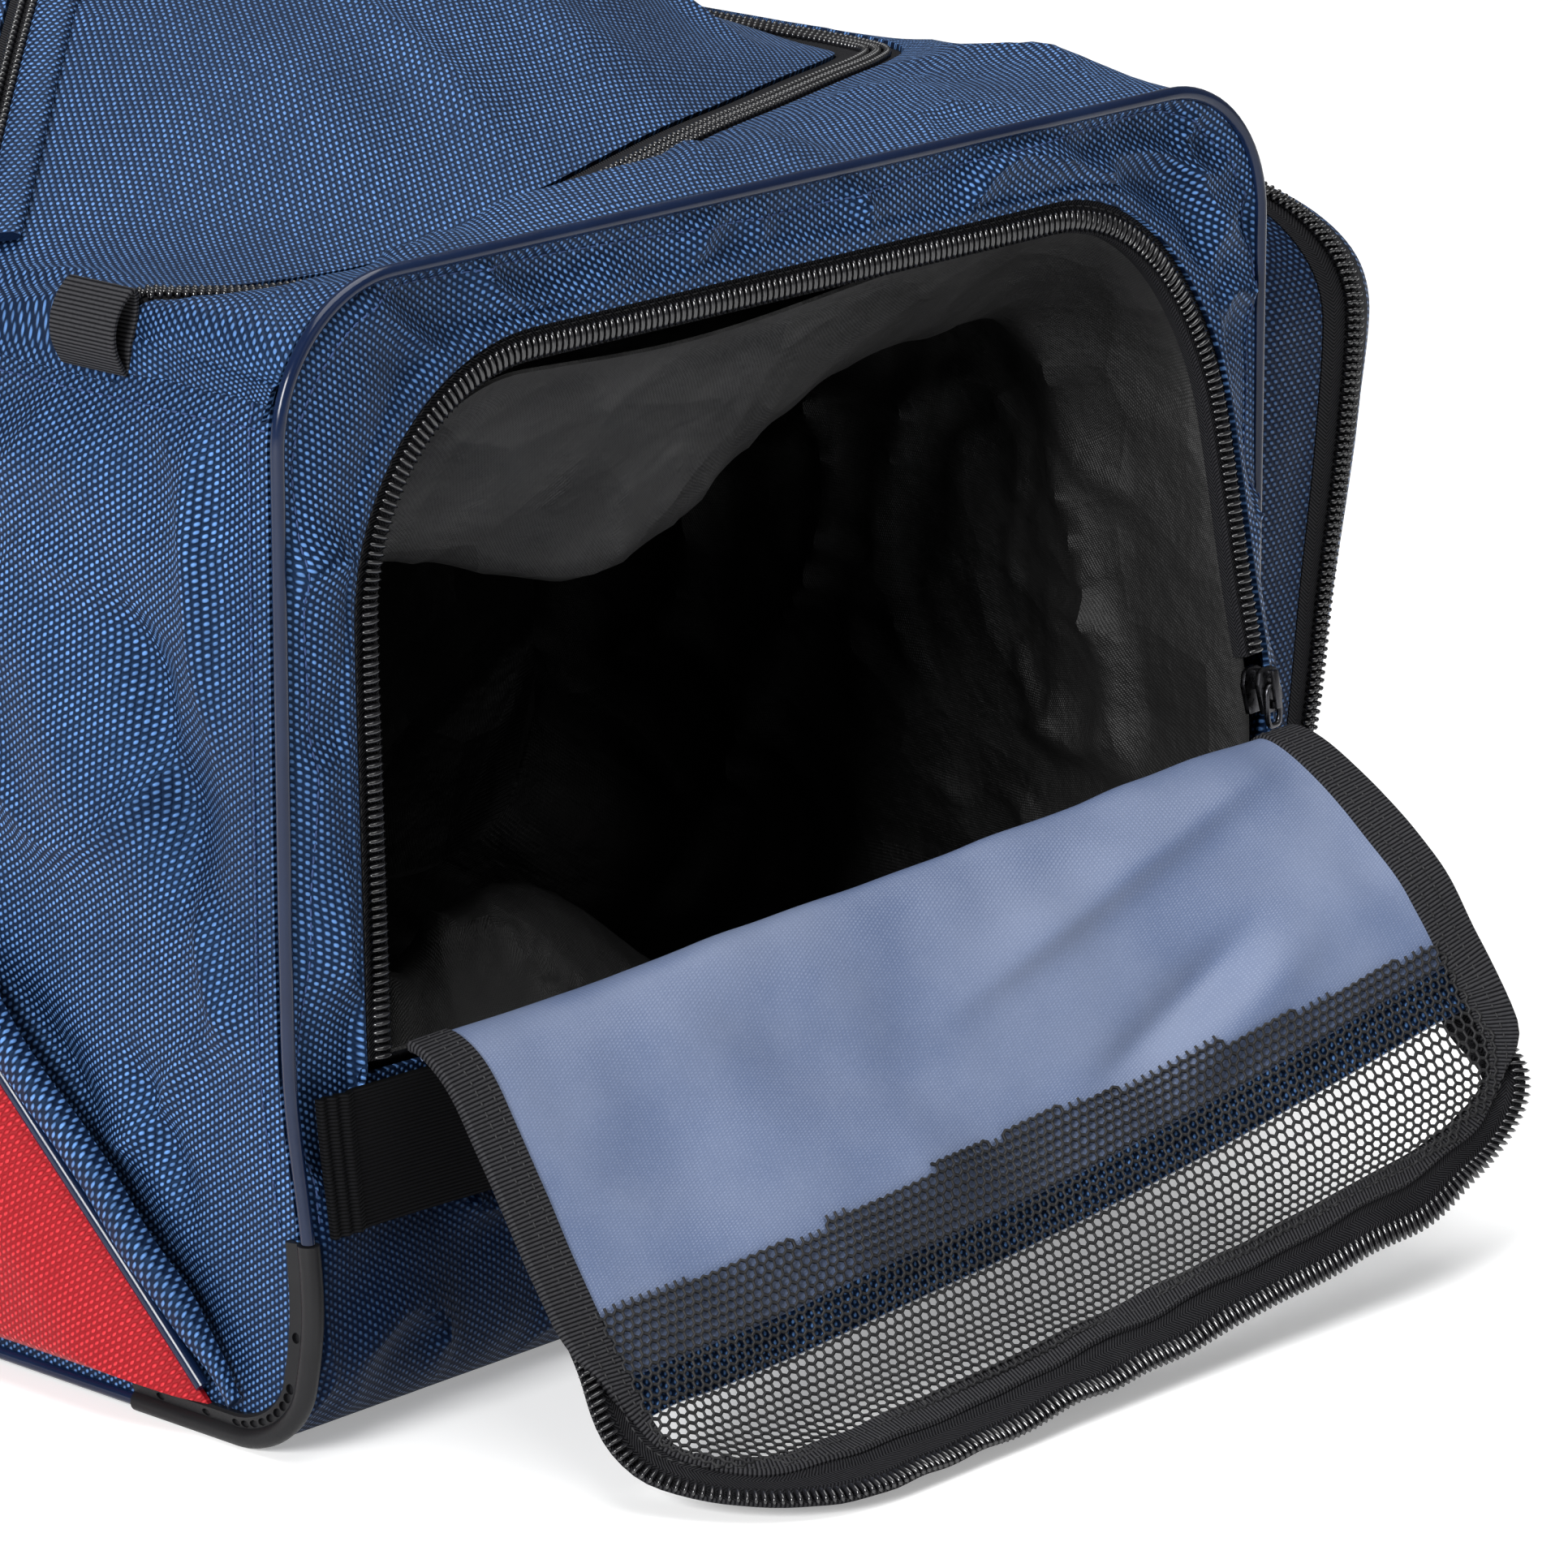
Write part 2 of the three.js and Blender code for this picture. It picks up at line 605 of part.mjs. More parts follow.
function makeLid() {
  const edge = lidZipLine.slice(0, TOP_ROWS.length)
    .map(({ place, half, across }) => place.clone().addScaledVector(across, -half - GAP));
  const rows = 9;
  const grid = Array.from({ length: rows + 1 }, (_, j) => edge.map(({ x, y }) => {
    const share = 0.5 - 0.5 * Math.cos((Math.PI * j) / rows);
    return lidPoint(x, THREE.MathUtils.lerp(y, BODY_LENGTH - y, share));
  }));
  addPiece('lid', clothWall(grid, CLOTH), navyWeave);
}

function makeLidZip() {
  const section = [
    [-1, -ZIP_BACK], [1, -ZIP_BACK], [1, -0.2], [0.32, -0.2],
    [0.25, 2], [-0.25, 2], [-0.32, -0.2], [-1, -0.2],
  ];
  const wide = lidZipLine.slice(1, -1).map((frame) => ({
    ...frame,
    across: frame.across.clone().multiplyScalar(frame.half),
  }));
  addPiece('lid_zip', carriedStrip(wide, section), blackZip);
}

// Raised pocket on the left of the lid, its slanted ends and long edge closed by a zip
function makeLidPocket() {
  const startY = (x) => LID_POCKET_START + (x - LID_POCKET_LEFT) * LID_POCKET_SLANT;
  const places = [LID_POCKET_LEFT, -160, -110, -60, LID_POCKET_RIGHT];
  const rows = 7;
  const grid = Array.from({ length: rows + 1 }, (_, j) => places.map((x) => {
    const share = 0.5 - 0.5 * Math.cos((Math.PI * j) / rows);
    const y = THREE.MathUtils.lerp(startY(x), BODY_LENGTH - startY(x), share);
    return lidPoint(x, y, CLOTH + 2 + LID_POCKET_RISE * Math.sin(Math.PI * share));
  }));
  addPiece('lid_pocket', clothWall(grid, CLOTH), navyWeave);

  const slant = new THREE.Vector2(LID_POCKET_SLANT, -1).normalize();
  const corner = new THREE.Vector2(1, -Math.hypot(1, LID_POCKET_SLANT) + LID_POCKET_SLANT);
  const near = places.map((x, k) => {
    const out = k + 1 < places.length ? slant : corner;
    return { u: x, v: startY(x), outU: out.x, outV: out.y };
  });
  const back = near.slice().reverse().map((at) => ({ ...at, v: BODY_LENGTH - at.v, outV: -at.outV }));
  const middle = { u: LID_POCKET_RIGHT, v: BODY_LENGTH / 2, outU: 1, outV: 0 };
  const section = [[1.4, 1.4], [15, 1.4], [15, 2.6], [10, 2.6], [9, 4.6], [5, 4.6], [4, 2.6], [1.4, 2.6]];
  const zip = surfaceStrip((at) => frameOn(lidPoint, at), [...near, middle, ...back], section);
  addPiece('lid_pocket_zip', zip, blackZip);
}

// Six-sided section of a cord
const cordSection = (radius) => Array.from({ length: 6 }, (_, k) => {
  const angle = (Math.PI * (k + 0.5)) / 3;
  return [radius * Math.cos(angle), radius * Math.sin(angle)];
});

// Cord piping round the two ends, and along the floor between the corner guards
function makePiping() {
  const steps = { side: 4, arc: MOUTH_STEPS.arc, across: 1 };
  const arch = roundedLoop({
    left: -HALF_WIDTH, right: HALF_WIDTH, bottom: GUARD_TOP, top: BODY_HEIGHT,
    lower: GAP, upper: TOP_RADIUS, ...steps,
  }).slice(0, 2 * steps.side + 2 * steps.arc + steps.across + 1);
  const ends = [['front_piping', (z) => -edgeSwell(z)], ['back_piping', () => BODY_LENGTH]];
  for (const [name, placeAt] of ends) {
    const frames = arch.map(({ u, v, outU, outV }) => ({
      place: new THREE.Vector3(u, placeAt(v), v),
      across: new THREE.Vector3(outU, 0, outV),
      up: new THREE.Vector3(0, -1, 0),
    }));
    addPiece(name, carriedStrip(frames, cordSection(PIPING_RADIUS)), navyPiping);
  }
  for (const [name, side] of [['base_piping_left', -1], ['base_piping_right', 1]]) {
    const frames = [GUARD_FOOT + GAP, BODY_LENGTH - GUARD_FOOT - GAP].map((y) => ({
      place: new THREE.Vector3(side * HALF_WIDTH, y, GUARD_RADIUS),
      across: new THREE.Vector3(1, 0, 0),
      up: new THREE.Vector3(0, 0, 1),
    }));
    addPiece(name, carriedStrip(frames, cordSection(PIPING_RADIUS)), navyPiping);
  }
}

// Moulded guards over the piping at the floor corners, notched along their inner edge
function makeCornerGuards() {
  const turns = [Math.PI / 2, 1.26, 0.94, 0.63, 0.31, 0];
  const stations = [
    { y: 0, z: GUARD_TOP, angle: Math.PI / 2 },
    { y: 0, z: 50, angle: Math.PI / 2 },
    ...turns.map((angle) => ({ ...cornerLine(angle, 0), angle })),
    { y: GUARD_FOOT, z: GUARD_RADIUS, angle: 0 },
  ];
  const holes = [0.25, 0.55, 0.85, 1.15, 1.45].map((angle) => cornerLine(angle, 2.4));
  for (const [end, far] of [['front', false], ['back', true]]) {
    for (const [hand, side] of [['left', -1], ['right', 1]]) {
      const place = ({ y, z }) => {
        const out = far ? BODY_LENGTH - y : y - edgeSwell(z);
        return new THREE.Vector3(side * HALF_WIDTH, out, z);
      };
      const frames = stations.map((station) => ({
        place: place(station),
        across: new THREE.Vector3(1, 0, 0),
        up: new THREE.Vector3(0, (far ? 1 : -1) * Math.sin(station.angle), -Math.cos(station.angle)),
      }));
      let guard = toSolid(carriedStrip(frames, cordSection(GUARD_RADIUS)));
      for (const hole of holes) {
        const bore = [GUARD_HOLE_RADIUS, GUARD_HOLE_RADIUS, 4 * GUARD_RADIUS, 6];
        const drill = new THREE.CylinderGeometry(...bore);
        drill.rotateZ(Math.PI / 2);
        const at = place(hole);
        drill.translate(at.x, at.y, at.z);
        guard = guard.subtract(toSolid(drill));
      }
      addPiece(`corner_guard_${end}_${hand}`, fromSolid(guard), blackRubber);
    }
  }
}

// Fixed half of the mouth's zip: tape against the wall, coil along the opening.
// It ends above the slider, which stands low on the right.
function makeEndZip() {
  const count = 2 * MOUTH_STEPS.side + 2 * MOUTH_STEPS.arc + MOUTH_STEPS.across;
  const line = mouthLoop(0, MOUTH_STEPS, HINGE_HEIGHT + 1).slice(0, count);
  line[count - 1].v = upFromSeam(SLIDER_HEIGHT + SLIDER_LENGTH / 2 + GAP);
  const tape = TAPE_WIDTH - 2 * GAP;
  const section = [[tape, -ZIP_BACK], [tape, 0], [1, 0], [-0.5, 2.4], [-4.6, 2.4], [-5, -ZIP_BACK]];
  addPiece('end_zip', surfaceStrip((at) => frameOn(frontPoint, at), line, section), blackZip);
}

// Slider: two plates joined by a divider, a bridge, and a pull lying to the right
function makeEndZipSlider() {
  const half = SLIDER_LENGTH / 2;
  const shield = new THREE.Shape([
    new THREE.Vector2(-4, -half),
    new THREE.Vector2(4, -half),
    new THREE.Vector2(SLIDER_WIDTH / 2, half - 4),
    new THREE.Vector2(4, half),
    new THREE.Vector2(-4, half),
    new THREE.Vector2(-SLIDER_WIDTH / 2, half - 4),
  ]);
  const plateAt = (height) => {
    const plate = new THREE.ExtrudeGeometry(shield, { depth: 1.8, bevelEnabled: false });
    return plate.translate(0, 0, height);
  };
  const boxAt = (size, place) => new THREE.BoxGeometry(...size).translate(...place);
  const pieces = [
    plateAt(-1.4),
    plateAt(4),
    boxAt([3, 6, 5], [0, half - 4, 2.2]),
    boxAt([2.4, 11, 3], [0, 0, 6.8]),
    boxAt([22, 6, 1.4], [12, -1, 8.2]),
  ];
  const slider = fromSolid(pieces.map(toSolid).reduce((whole, piece) => whole.add(piece)));
  const station = { u: MOUTH_HALF - 2, v: upFromSeam(SLIDER_HEIGHT), outU: 1, outV: 0 };
  const { place, across, up } = frameOn(frontPoint, station);
  const along = new THREE.Vector3().crossVectors(up, across);
  slider.applyMatrix4(new THREE.Matrix4().makeBasis(across, along, up).setPosition(place));
  addPiece('end_zip_slider', slider, darkMetal);
}

// Lining sack: from the zip's back into the body, open to the front
function makeLining() {
  const first = mouthLoop(-3, MOUTH_STEPS, HINGE_HEIGHT + 4).map((station) => {
    const { place, up } = frameOn(frontPoint, station);
    return place.addScaledVector(up, -ZIP_BACK - 2 * GAP);
  });
  const rows = LINING_ROWS.map((row) => {
    const ring = roundedLoop({
      left: -row.half, right: row.half, bottom: row.floor, top: row.ceiling,
      lower: row.foot, upper: row.round, ...MOUTH_STEPS,
    });
    const nearMouth = Math.max(0, 1 - row.depth / 60);
    return ring.map(({ u, v }, k) => new THREE.Vector3(u, row.depth + nearMouth * first[k].y, v));
  });
  const back = LINING_ROWS[LINING_ROWS.length - 1];
  const centre = new THREE.Vector3(0, back.depth + 6, (back.floor + back.ceiling) / 2);
  addPiece('pocket_lining', clothWall([first, ...rows], LINING, { loop: true, centre }), blackLining);
}

// The door as it hangs: across the mouth by x, and by distance from its hinge
function doorPoint(x, along) {
  const at = (column) => lookUp(DOOR_ROWS, 'along', along, column);
  const blend = (left, middle, right) => {
    const t = x / MOUTH_HALF;
    return middle + ((right - left) / 2) * t + ((right + left) / 2 - middle) * t * t;
  };
  const y = blend(at('leftY'), at('middleY'), at('rightY'));
  const z = blend(at('leftZ'), at('middleZ'), at('rightZ'));
  const first = DOOR_ROWS[0];
  const hingeY = CLOTH / 2 - frontSwell(x, HINGE_HEIGHT);
  const hingeOff = hingeY - blend(first.leftY, first.middleY, first.rightY);
  return new THREE.Vector3(x, y + hingeOff * Math.max(0, 1 - along / 40), z);
}

// Place and directions on the door, up being its inner face, which hangs outwards
function doorFrame(station) {
  const frame = frameOn(doorPoint, station);
  frame.up.negate();
  return frame;
}

// Edge of the door: up the left side, round the free end, down the right side
function doorEdge() {
  const steps = { side: 7, arc: 4, across: 4 };
  const loop = roundedLoop({
    left: -MOUTH_HALF, right: MOUTH_HALF, bottom: DOOR_EDGE_START, top: DOOR_LENGTH,
    lower: GAP, upper: MOUTH_RADIUS, ...steps,
  });
  return loop.slice(0, 2 * steps.side + 2 * steps.arc + steps.across + 1);
}

function makeDoor() {
  const inner = DOOR_BAND + 4 * GAP;
  const radius = MOUTH_RADIUS - inner;
  const halfAt = (along) => {
    const over = Math.max(along - (DOOR_LENGTH - MOUTH_RADIUS), 0);
    return MOUTH_HALF - inner - radius + Math.sqrt(Math.max(radius ** 2 - over ** 2, 0));
  };
  const columns = 8;
  const sheetAt = (places, lift) => places.map((along) =>
    Array.from({ length: columns + 1 }, (_, j) => {
      const u = halfAt(along) * ((2 * j) / columns - 1);
      const frame = doorFrame({ u, v: along, outU: 0, outV: 1 });
      return frame.place.addScaledVector(frame.up, lift);
    }));
  const cloth = [0.8, 8, 16, 24, 34, 50, 70, 90, 110, NET_START, HEM_END];
  addPiece('door_panel', clothWall(sheetAt(cloth, 0), -CLOTH), coatedBlue);
  const net = [NET_START, HEM_END, 151, DOOR_LENGTH - DOOR_BAND - 4];
  addPiece('door_mesh', clothWall(sheetAt(net, NET + GAP), -NET), blackNet);

  const edge = doorEdge();
  const bind = DOOR_BAND;
  const zip = DOOR_ZIP_WIDTH;
  const binding = [[-bind, 0.6], [-bind, -2.4], [-zip - GAP, -2.4], [-zip - GAP, 0.6]];
  addPiece('door_binding', surfaceStrip(doorFrame, edge, binding), blackWebbing);
  const tape = [[-zip, -1.6], [0, -1.6], [0, 1.8], [-4.4, 1.8], [-5.6, -0.4], [-zip, -0.4]];
  addPiece('door_zip', surfaceStrip(doorFrame, edge, tape), blackZip);
}

function makeWebbing() {
  const reach = HALF_WIDTH - EDGE_INSET - 3;
  const top = HINGE_HEIGHT - 2;
  const heights = [top - WEBBING_WIDTH, top - WEBBING_WIDTH / 2, top];
  const shares = [1, 0.955, 0.91, 0.865, 0.6, 0.3];
  const places = [...shares.map((share) => -share), 0, ...shares.slice().reverse()];
  const grid = heights.map((z) => places.map((share) => {
    const point = frontPoint(reach * share, upFromSeam(z));
    point.y -= WEBBING_THICKNESS + WEBBING_LIFT;
    return point;
  }));
  const toward = () => new THREE.Vector3(0, 1, 0);
  addPiece('end_webbing', clothWall(grid, WEBBING_THICKNESS, { toward }), blackWebbing);
}

// Woven loop standing on the left seam, at the end of the lid zip
function makeZipLoop() {
  const corners = LOOP_ROWS.map(({ x, z }) => new THREE.Vector3(x, LOOP_START, z));
  const line = new THREE.CatmullRomCurve3(corners, true, 'centripetal');
  const count = 20;
  const frames = Array.from({ length: count }, (_, k) => {
    const tangent = line.getTangent(k / count);
    const up = new THREE.Vector3(0, 1, 0);
    const across = new THREE.Vector3().crossVectors(tangent, up);
    return { place: line.getPoint(k / count), across, up };
  });
  const half = LOOP_THICKNESS / 2;
  const section = [[-half, 0], [half, 0], [half, LOOP_WIDTH], [-half, LOOP_WIDTH]];
  addPiece('zip_loop', carriedStrip(frames, section, true), blackWebbing);
}

// Deep pocket on the right side: gusset, zip round its edge, outer face
function makeRightPocket() {
  const steps = { side: 2, arc: 4, across: 4, foot: 2 };
  const loopAt = (inset) => roundedLoop({
    left: POCKET_FRONT + inset, right: BODY_LENGTH - POCKET_FRONT - inset,
    bottom: POCKET_FLOOR + inset, top: POCKET_TOP - inset,
    lower: POCKET_LOWER_RADIUS - inset / 2, upper: POCKET_UPPER_RADIUS - inset / 2, ...steps,
  });
  const depthAt = (z) => lookUp(POCKET_ROWS, 'z', z, 'depth');
  const ringAt = (share, inset, scale = 1) => loopAt(inset).map(({ u, v }) => {
    const middleY = BODY_LENGTH / 2;
    const middleZ = (POCKET_FLOOR + POCKET_TOP) / 2;
    const y = middleY + (u - middleY) * scale;
    const z = middleZ + (v - middleZ) * scale;
    return new THREE.Vector3(sideX(y, z) + 2 * GAP + depthAt(z) * share, y, z);
  });
  const gusset = [ringAt(0, 0), ringAt(0.3, -2), ringAt(0.58, 0)];
  addPiece('right_pocket_gusset', clothWall(gusset, CLOTH, { loop: true }), navyWeave);
  const zip = [ringAt(0.588, 0), ringAt(0.76, 2), ringAt(0.88, 8)];
  addPiece('right_pocket_zip', clothWall(zip, CLOTH, { loop: true }), blackZip);
  const face = [ringAt(0.886, 8.4), ringAt(0.98, 17), ringAt(1, 30), ringAt(1, 30, 0.55)];
  const outermost = face[face.length - 1];
  const middleX = outermost.reduce((sum, point) => sum + point.x, 0) / outermost.length;
  const centre = new THREE.Vector3(middleX, BODY_LENGTH / 2, (POCKET_FLOOR + POCKET_TOP) / 2);
  addPiece('right_pocket_face', clothWall(face, CLOTH, { loop: true, centre }), navyWeave);
}

// Red panel low on the left side, with piping and a folded strip along its slanted and upper edges
function makeLeftAccent() {
  const top = ACCENT_FLOOR + ACCENT_HEIGHT;
  const corners = [
    [ACCENT_START, ACCENT_FLOOR],
    [ACCENT_START + ACCENT_HEIGHT, top],
    [BODY_LENGTH - ACCENT_START - ACCENT_HEIGHT, top],
    [BODY_LENGTH - ACCENT_START, ACCENT_FLOOR],
  ];
  const sideAt = (y, z, lift) => new THREE.Vector3(-sideX(y, z) - lift, y, z);
  const outline = [];
  const counts = [3, 6, 3, 6];
  corners.forEach(([y, z], k) => {
    const [nextY, nextZ] = corners[(k + 1) % corners.length];
    for (let j = 0; j < counts[k]; j++) {
      const share = j / counts[k];
      outline.push([THREE.MathUtils.lerp(y, nextY, share), THREE.MathUtils.lerp(z, nextZ, share)]);
    }
  });
  const middle = [BODY_LENGTH / 2, ACCENT_FLOOR + ACCENT_HEIGHT * 0.48];
  const ringAt = (share, lift) => outline.map(([y, z]) =>
    sideAt(THREE.MathUtils.lerp(middle[0], y, share), THREE.MathUtils.lerp(middle[1], z, share), lift));
  const low = CLOTH + GAP;
  const high = low + ACCENT_BULGE;
  const grid = [ringAt(1, low), ringAt(0.97, low + 5), ringAt(0.88, high), ringAt(0.4, high)];
  const centre = sideAt(...middle, high);
  const toward = () => new THREE.Vector3(1, 0, 0);
  addPiece('left_accent_panel', clothWall(grid, CLOTH, { loop: true, centre, toward }), redWeave);

  const edgeFrames = (out, lift) => {
    const [start, shoulder] = corners;
    const slant = out * Math.SQRT1_2;
    const turn = out * Math.tan(Math.PI / 8);
    const stations = [
      { y: start[0] - slant + 3, z: start[1] + slant + 3, outY: -Math.SQRT1_2, outZ: Math.SQRT1_2 },
      { y: shoulder[0] - turn, z: shoulder[1] + out, outY: -Math.tan(Math.PI / 8), outZ: 1 },
      ...[0.3, 0.4, 0.5].map((share) => (
        { y: BODY_LENGTH * share, z: shoulder[1] + out, outY: 0, outZ: 1 })),
    ];
    const middleOfSlant = {
      ...stations[0],
      y: (stations[0].y + stations[1].y) / 2,
      z: (stations[0].z + stations[1].z) / 2,
    };
    stations.splice(1, 0, middleOfSlant);
    const there = stations.slice(0, -1).reverse();
    const back = there.map((at) => ({ ...at, y: BODY_LENGTH - at.y, outY: -at.outY }));
    return [...stations, ...back].map(({ y, z, outY, outZ }) => ({
      place: sideAt(y, z, lift),
      across: new THREE.Vector3(0, outY, outZ),
      up: new THREE.Vector3(-1, 0, 0),
    }));
  };
  const piping = cordSection(ACCENT_PIPING_RADIUS);
  const cordOut = ACCENT_PIPING_RADIUS + 2 * GAP;
  addPiece('left_accent_piping', carriedStrip(edgeFrames(cordOut, cordOut), piping), navyPiping);
  const strip = [[-5, -4], [5, -4], [5, 2], [3, 4], [-3, 4], [-5, 2]];
  const stripOut = 2 * ACCENT_PIPING_RADIUS + 4 * GAP + 5;
  addPiece('left_accent_edge', carriedStrip(edgeFrames(stripOut, 4 + 2 * GAP), strip), navyWeave);
}

// Plain wheels on the far end: housing with two cheeks and a hood, axle, hub and tyre
function makeWheels() {
  const turn = (degrees) => (degrees * Math.PI) / 180;
  const boreRadius = AXLE_RADIUS + RUNNING_GAP;
  for (const [hand, side] of [['left', -1], ['right', 1]]) {
    const middle = new THREE.Vector3(side * WHEEL_X, BODY_LENGTH + WHEEL_OUT, WHEEL_Z);
    const profile = new THREE.Shape();
    profile.moveTo(GAP - WHEEL_OUT, HOUSING_FOOT - WHEEL_Z);
    profile.lineTo(GAP - WHEEL_OUT, HOUSING_TOP - WHEEL_Z);
    profile.lineTo(-30, HOUSING_TOP - 3 - WHEEL_Z);
    profile.absarc(0, 0, WHEEL_RADIUS + HOOD_CLEARANCE, turn(75), turn(8), true);
    profile.lineTo(14, -14);
    profile.lineTo(-14, -14);
    profile.closePath();
    const along = { depth: HOUSING_WIDTH, bevelEnabled: false, curveSegments: 8 };
    const block = new THREE.ExtrudeGeometry(profile, along);
    block.translate(0, 0, -HOUSING_WIDTH / 2);
    const slotRadius = WHEEL_RADIUS + SLOT_CLEARANCE;
    const slot = new THREE.CylinderGeometry(slotRadius, slotRadius, SLOT_WIDTH, 24);
    slot.rotateX(Math.PI / 2);
    const bore = new THREE.CylinderGeometry(boreRadius, boreRadius, HOUSING_WIDTH + 4, 12);
    bore.rotateX(Math.PI / 2);
    const housing = fromSolid(toSolid(block).subtract(toSolid(slot)).subtract(toSolid(bore)));
    const group = new THREE.Group();
    group.position.copy(middle);
    group.quaternion.setFromAxisAngle(new THREE.Vector3(1, 1, 1).normalize(), turn(120));
    bag.add(group);
    const place = (name, geometry, material) => group.add(addPiece(name, geometry, material));
    place(`wheel_housing_${hand}`, housing, blackRubber);

    const axle = new THREE.CylinderGeometry(AXLE_RADIUS, AXLE_RADIUS, HOUSING_WIDTH + 2, 12);
    axle.rotateX(Math.PI / 2);
    place(`wheel_axle_${hand}`, axle, steel);

    const half = WHEEL_WIDTH / 2;
    const hubProfile = [
      [boreRadius, -half - 1], [10, -half - 1], [11, -half + 5], [HUB_RADIUS - 5, -half + 5],
      [HUB_RADIUS, -half + 1], [HUB_RADIUS, half - 1], [HUB_RADIUS - 5, half - 5], [11, half - 5],
      [10, half + 1], [boreRadius, half + 1], [boreRadius, -half - 1],
    ].map(([radius, across]) => new THREE.Vector2(radius, across));
    const hub = new THREE.LatheGeometry(hubProfile, 16);
    hub.rotateX(Math.PI / 2);
    place(`wheel_hub_${hand}`, hub, greyPlastic);

    const seat = HUB_RADIUS + GAP;
    const tyreProfile = [
      [seat, -half], [WHEEL_RADIUS - 4, -half], [WHEEL_RADIUS - 1, -half + 4], [WHEEL_RADIUS, 0],
      [WHEEL_RADIUS - 1, half - 4], [WHEEL_RADIUS - 4, half], [seat, half], [seat, -half],
    ].map(([radius, across]) => new THREE.Vector2(radius, across));
    const tyre = new THREE.LatheGeometry(tyreProfile, 16);
    tyre.rotateX(Math.PI / 2);
    place(`wheel_tyre_${hand}`, tyre, blackRubber);
  }
}

makeEndPanel();
makeFarEndPanel();
makeBase();
makeSides();
makeTopRim();
makeLid();
makeLidZip();
makeLidPocket();
makePiping();
makeCornerGuards();
makeEndZip();
makeEndZipSlider();
makeLining();
makeDoor();
makeWebbing();
makeZipLoop();
makeRightPocket();
makeLeftAccent();
makeWheels();

export default bag;
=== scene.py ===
import math

import bmesh
import bpy
import numpy as np
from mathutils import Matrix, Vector, noise


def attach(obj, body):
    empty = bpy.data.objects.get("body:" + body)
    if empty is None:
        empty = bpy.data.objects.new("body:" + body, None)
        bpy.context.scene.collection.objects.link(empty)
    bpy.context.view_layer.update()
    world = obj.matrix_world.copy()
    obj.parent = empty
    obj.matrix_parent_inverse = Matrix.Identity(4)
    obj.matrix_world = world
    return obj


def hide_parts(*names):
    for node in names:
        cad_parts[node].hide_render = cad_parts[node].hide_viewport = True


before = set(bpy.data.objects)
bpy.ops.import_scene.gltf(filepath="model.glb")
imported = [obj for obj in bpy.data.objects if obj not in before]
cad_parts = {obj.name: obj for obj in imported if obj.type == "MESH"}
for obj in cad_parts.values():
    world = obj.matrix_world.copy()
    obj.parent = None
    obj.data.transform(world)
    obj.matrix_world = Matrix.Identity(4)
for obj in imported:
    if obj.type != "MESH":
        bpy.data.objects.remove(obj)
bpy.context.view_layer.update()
print("frame loaded")

# Sizes below are millimetres from the pocket end's piping line; the frame is metres from the bag's middle
mm = 0.001
body = {
    "width": 400, "height": 322, "length": 800, "topRadius": 42, "floorRadius": 22, "seam": 292,
    "cloth": 1.8, "inset": 3.4, "sideBulge": 6, "farBulge": 10,
}
halfWidth = body["width"] / 2
bagBody = "bag"


def toFrame(points):
    points = np.asarray(points, float).reshape(-1, 3)
    return (points - (0, body["length"] / 2, 0)) * mm


# Tables of the soft form, one list for each named column
frontRows = {
    "z": [0, 45, 104, 140, 180, 220, 260, 300],
    "edge": [0, 8, 1, 0, 0, 0, 0, 0],
    "left": [0, 8, 3, 2, 1, 0, 0, 0],
    "middle": [0, 12, 14, 12, 8, 4, 1, 0],
    "right": [0, 15, 26, 28, 20, 12, 3, 0],
}
topRows = {
    "step": list(range(13)),
    "pipeX": [-198.2, -193, -178, -148, -95, -40, 20, 70, 112, 150, 178, 193, 198.2],
    "zipX": [-198.2, -195, -180, -148, -95, -40, 18, 60, 100, 132, 153, 164, 168],
    "zipY": [62, 58, 53, 50, 49, 50, 59, 70, 83, 95, 110, 132, 160],
    "zipZ": [292.8, 300, 305, 307, 313, 318, 322, 323, 323, 322, 320, 318, 317],
    "half": [0.4, 4, 9, 12, 12, 12, 12, 12, 12, 12, 12, 12, 12],
    "swell": [0, 1, 2, 6, 12, 10, 6, 4, 4, 5, 6, 6, 7],
    "sink": [0, -11, -6, 0, 7, 3, 0, 0, 0, 0, 0, 0, 0],
}
doorRows = {
    "along": [0, 15, 30, 50, 90, 125, 150, 187],
    "leftY": [-3, -12, -25, -37, -59, -80, -98, -142],
    "leftZ": [105, 113, 106, 90, 57, 28, 10, 5],
    "middleY": [-13, -23, -34, -51, -75, -96, -114, -137],
    "middleZ": [105, 121, 127, 109, 75, 47, 28, 10],
    "rightY": [-26, -34, -44, -65, -97, -117, -138, -145],
    "rightZ": [106, 127, 139, 133, 111, 86, 62, 35],
}
pocketRows = {
    "z": [36, 100, 150, 200, 240, 262, 284],
    "depth": [46, 76, 87, 99, 103, 89, 54],
}


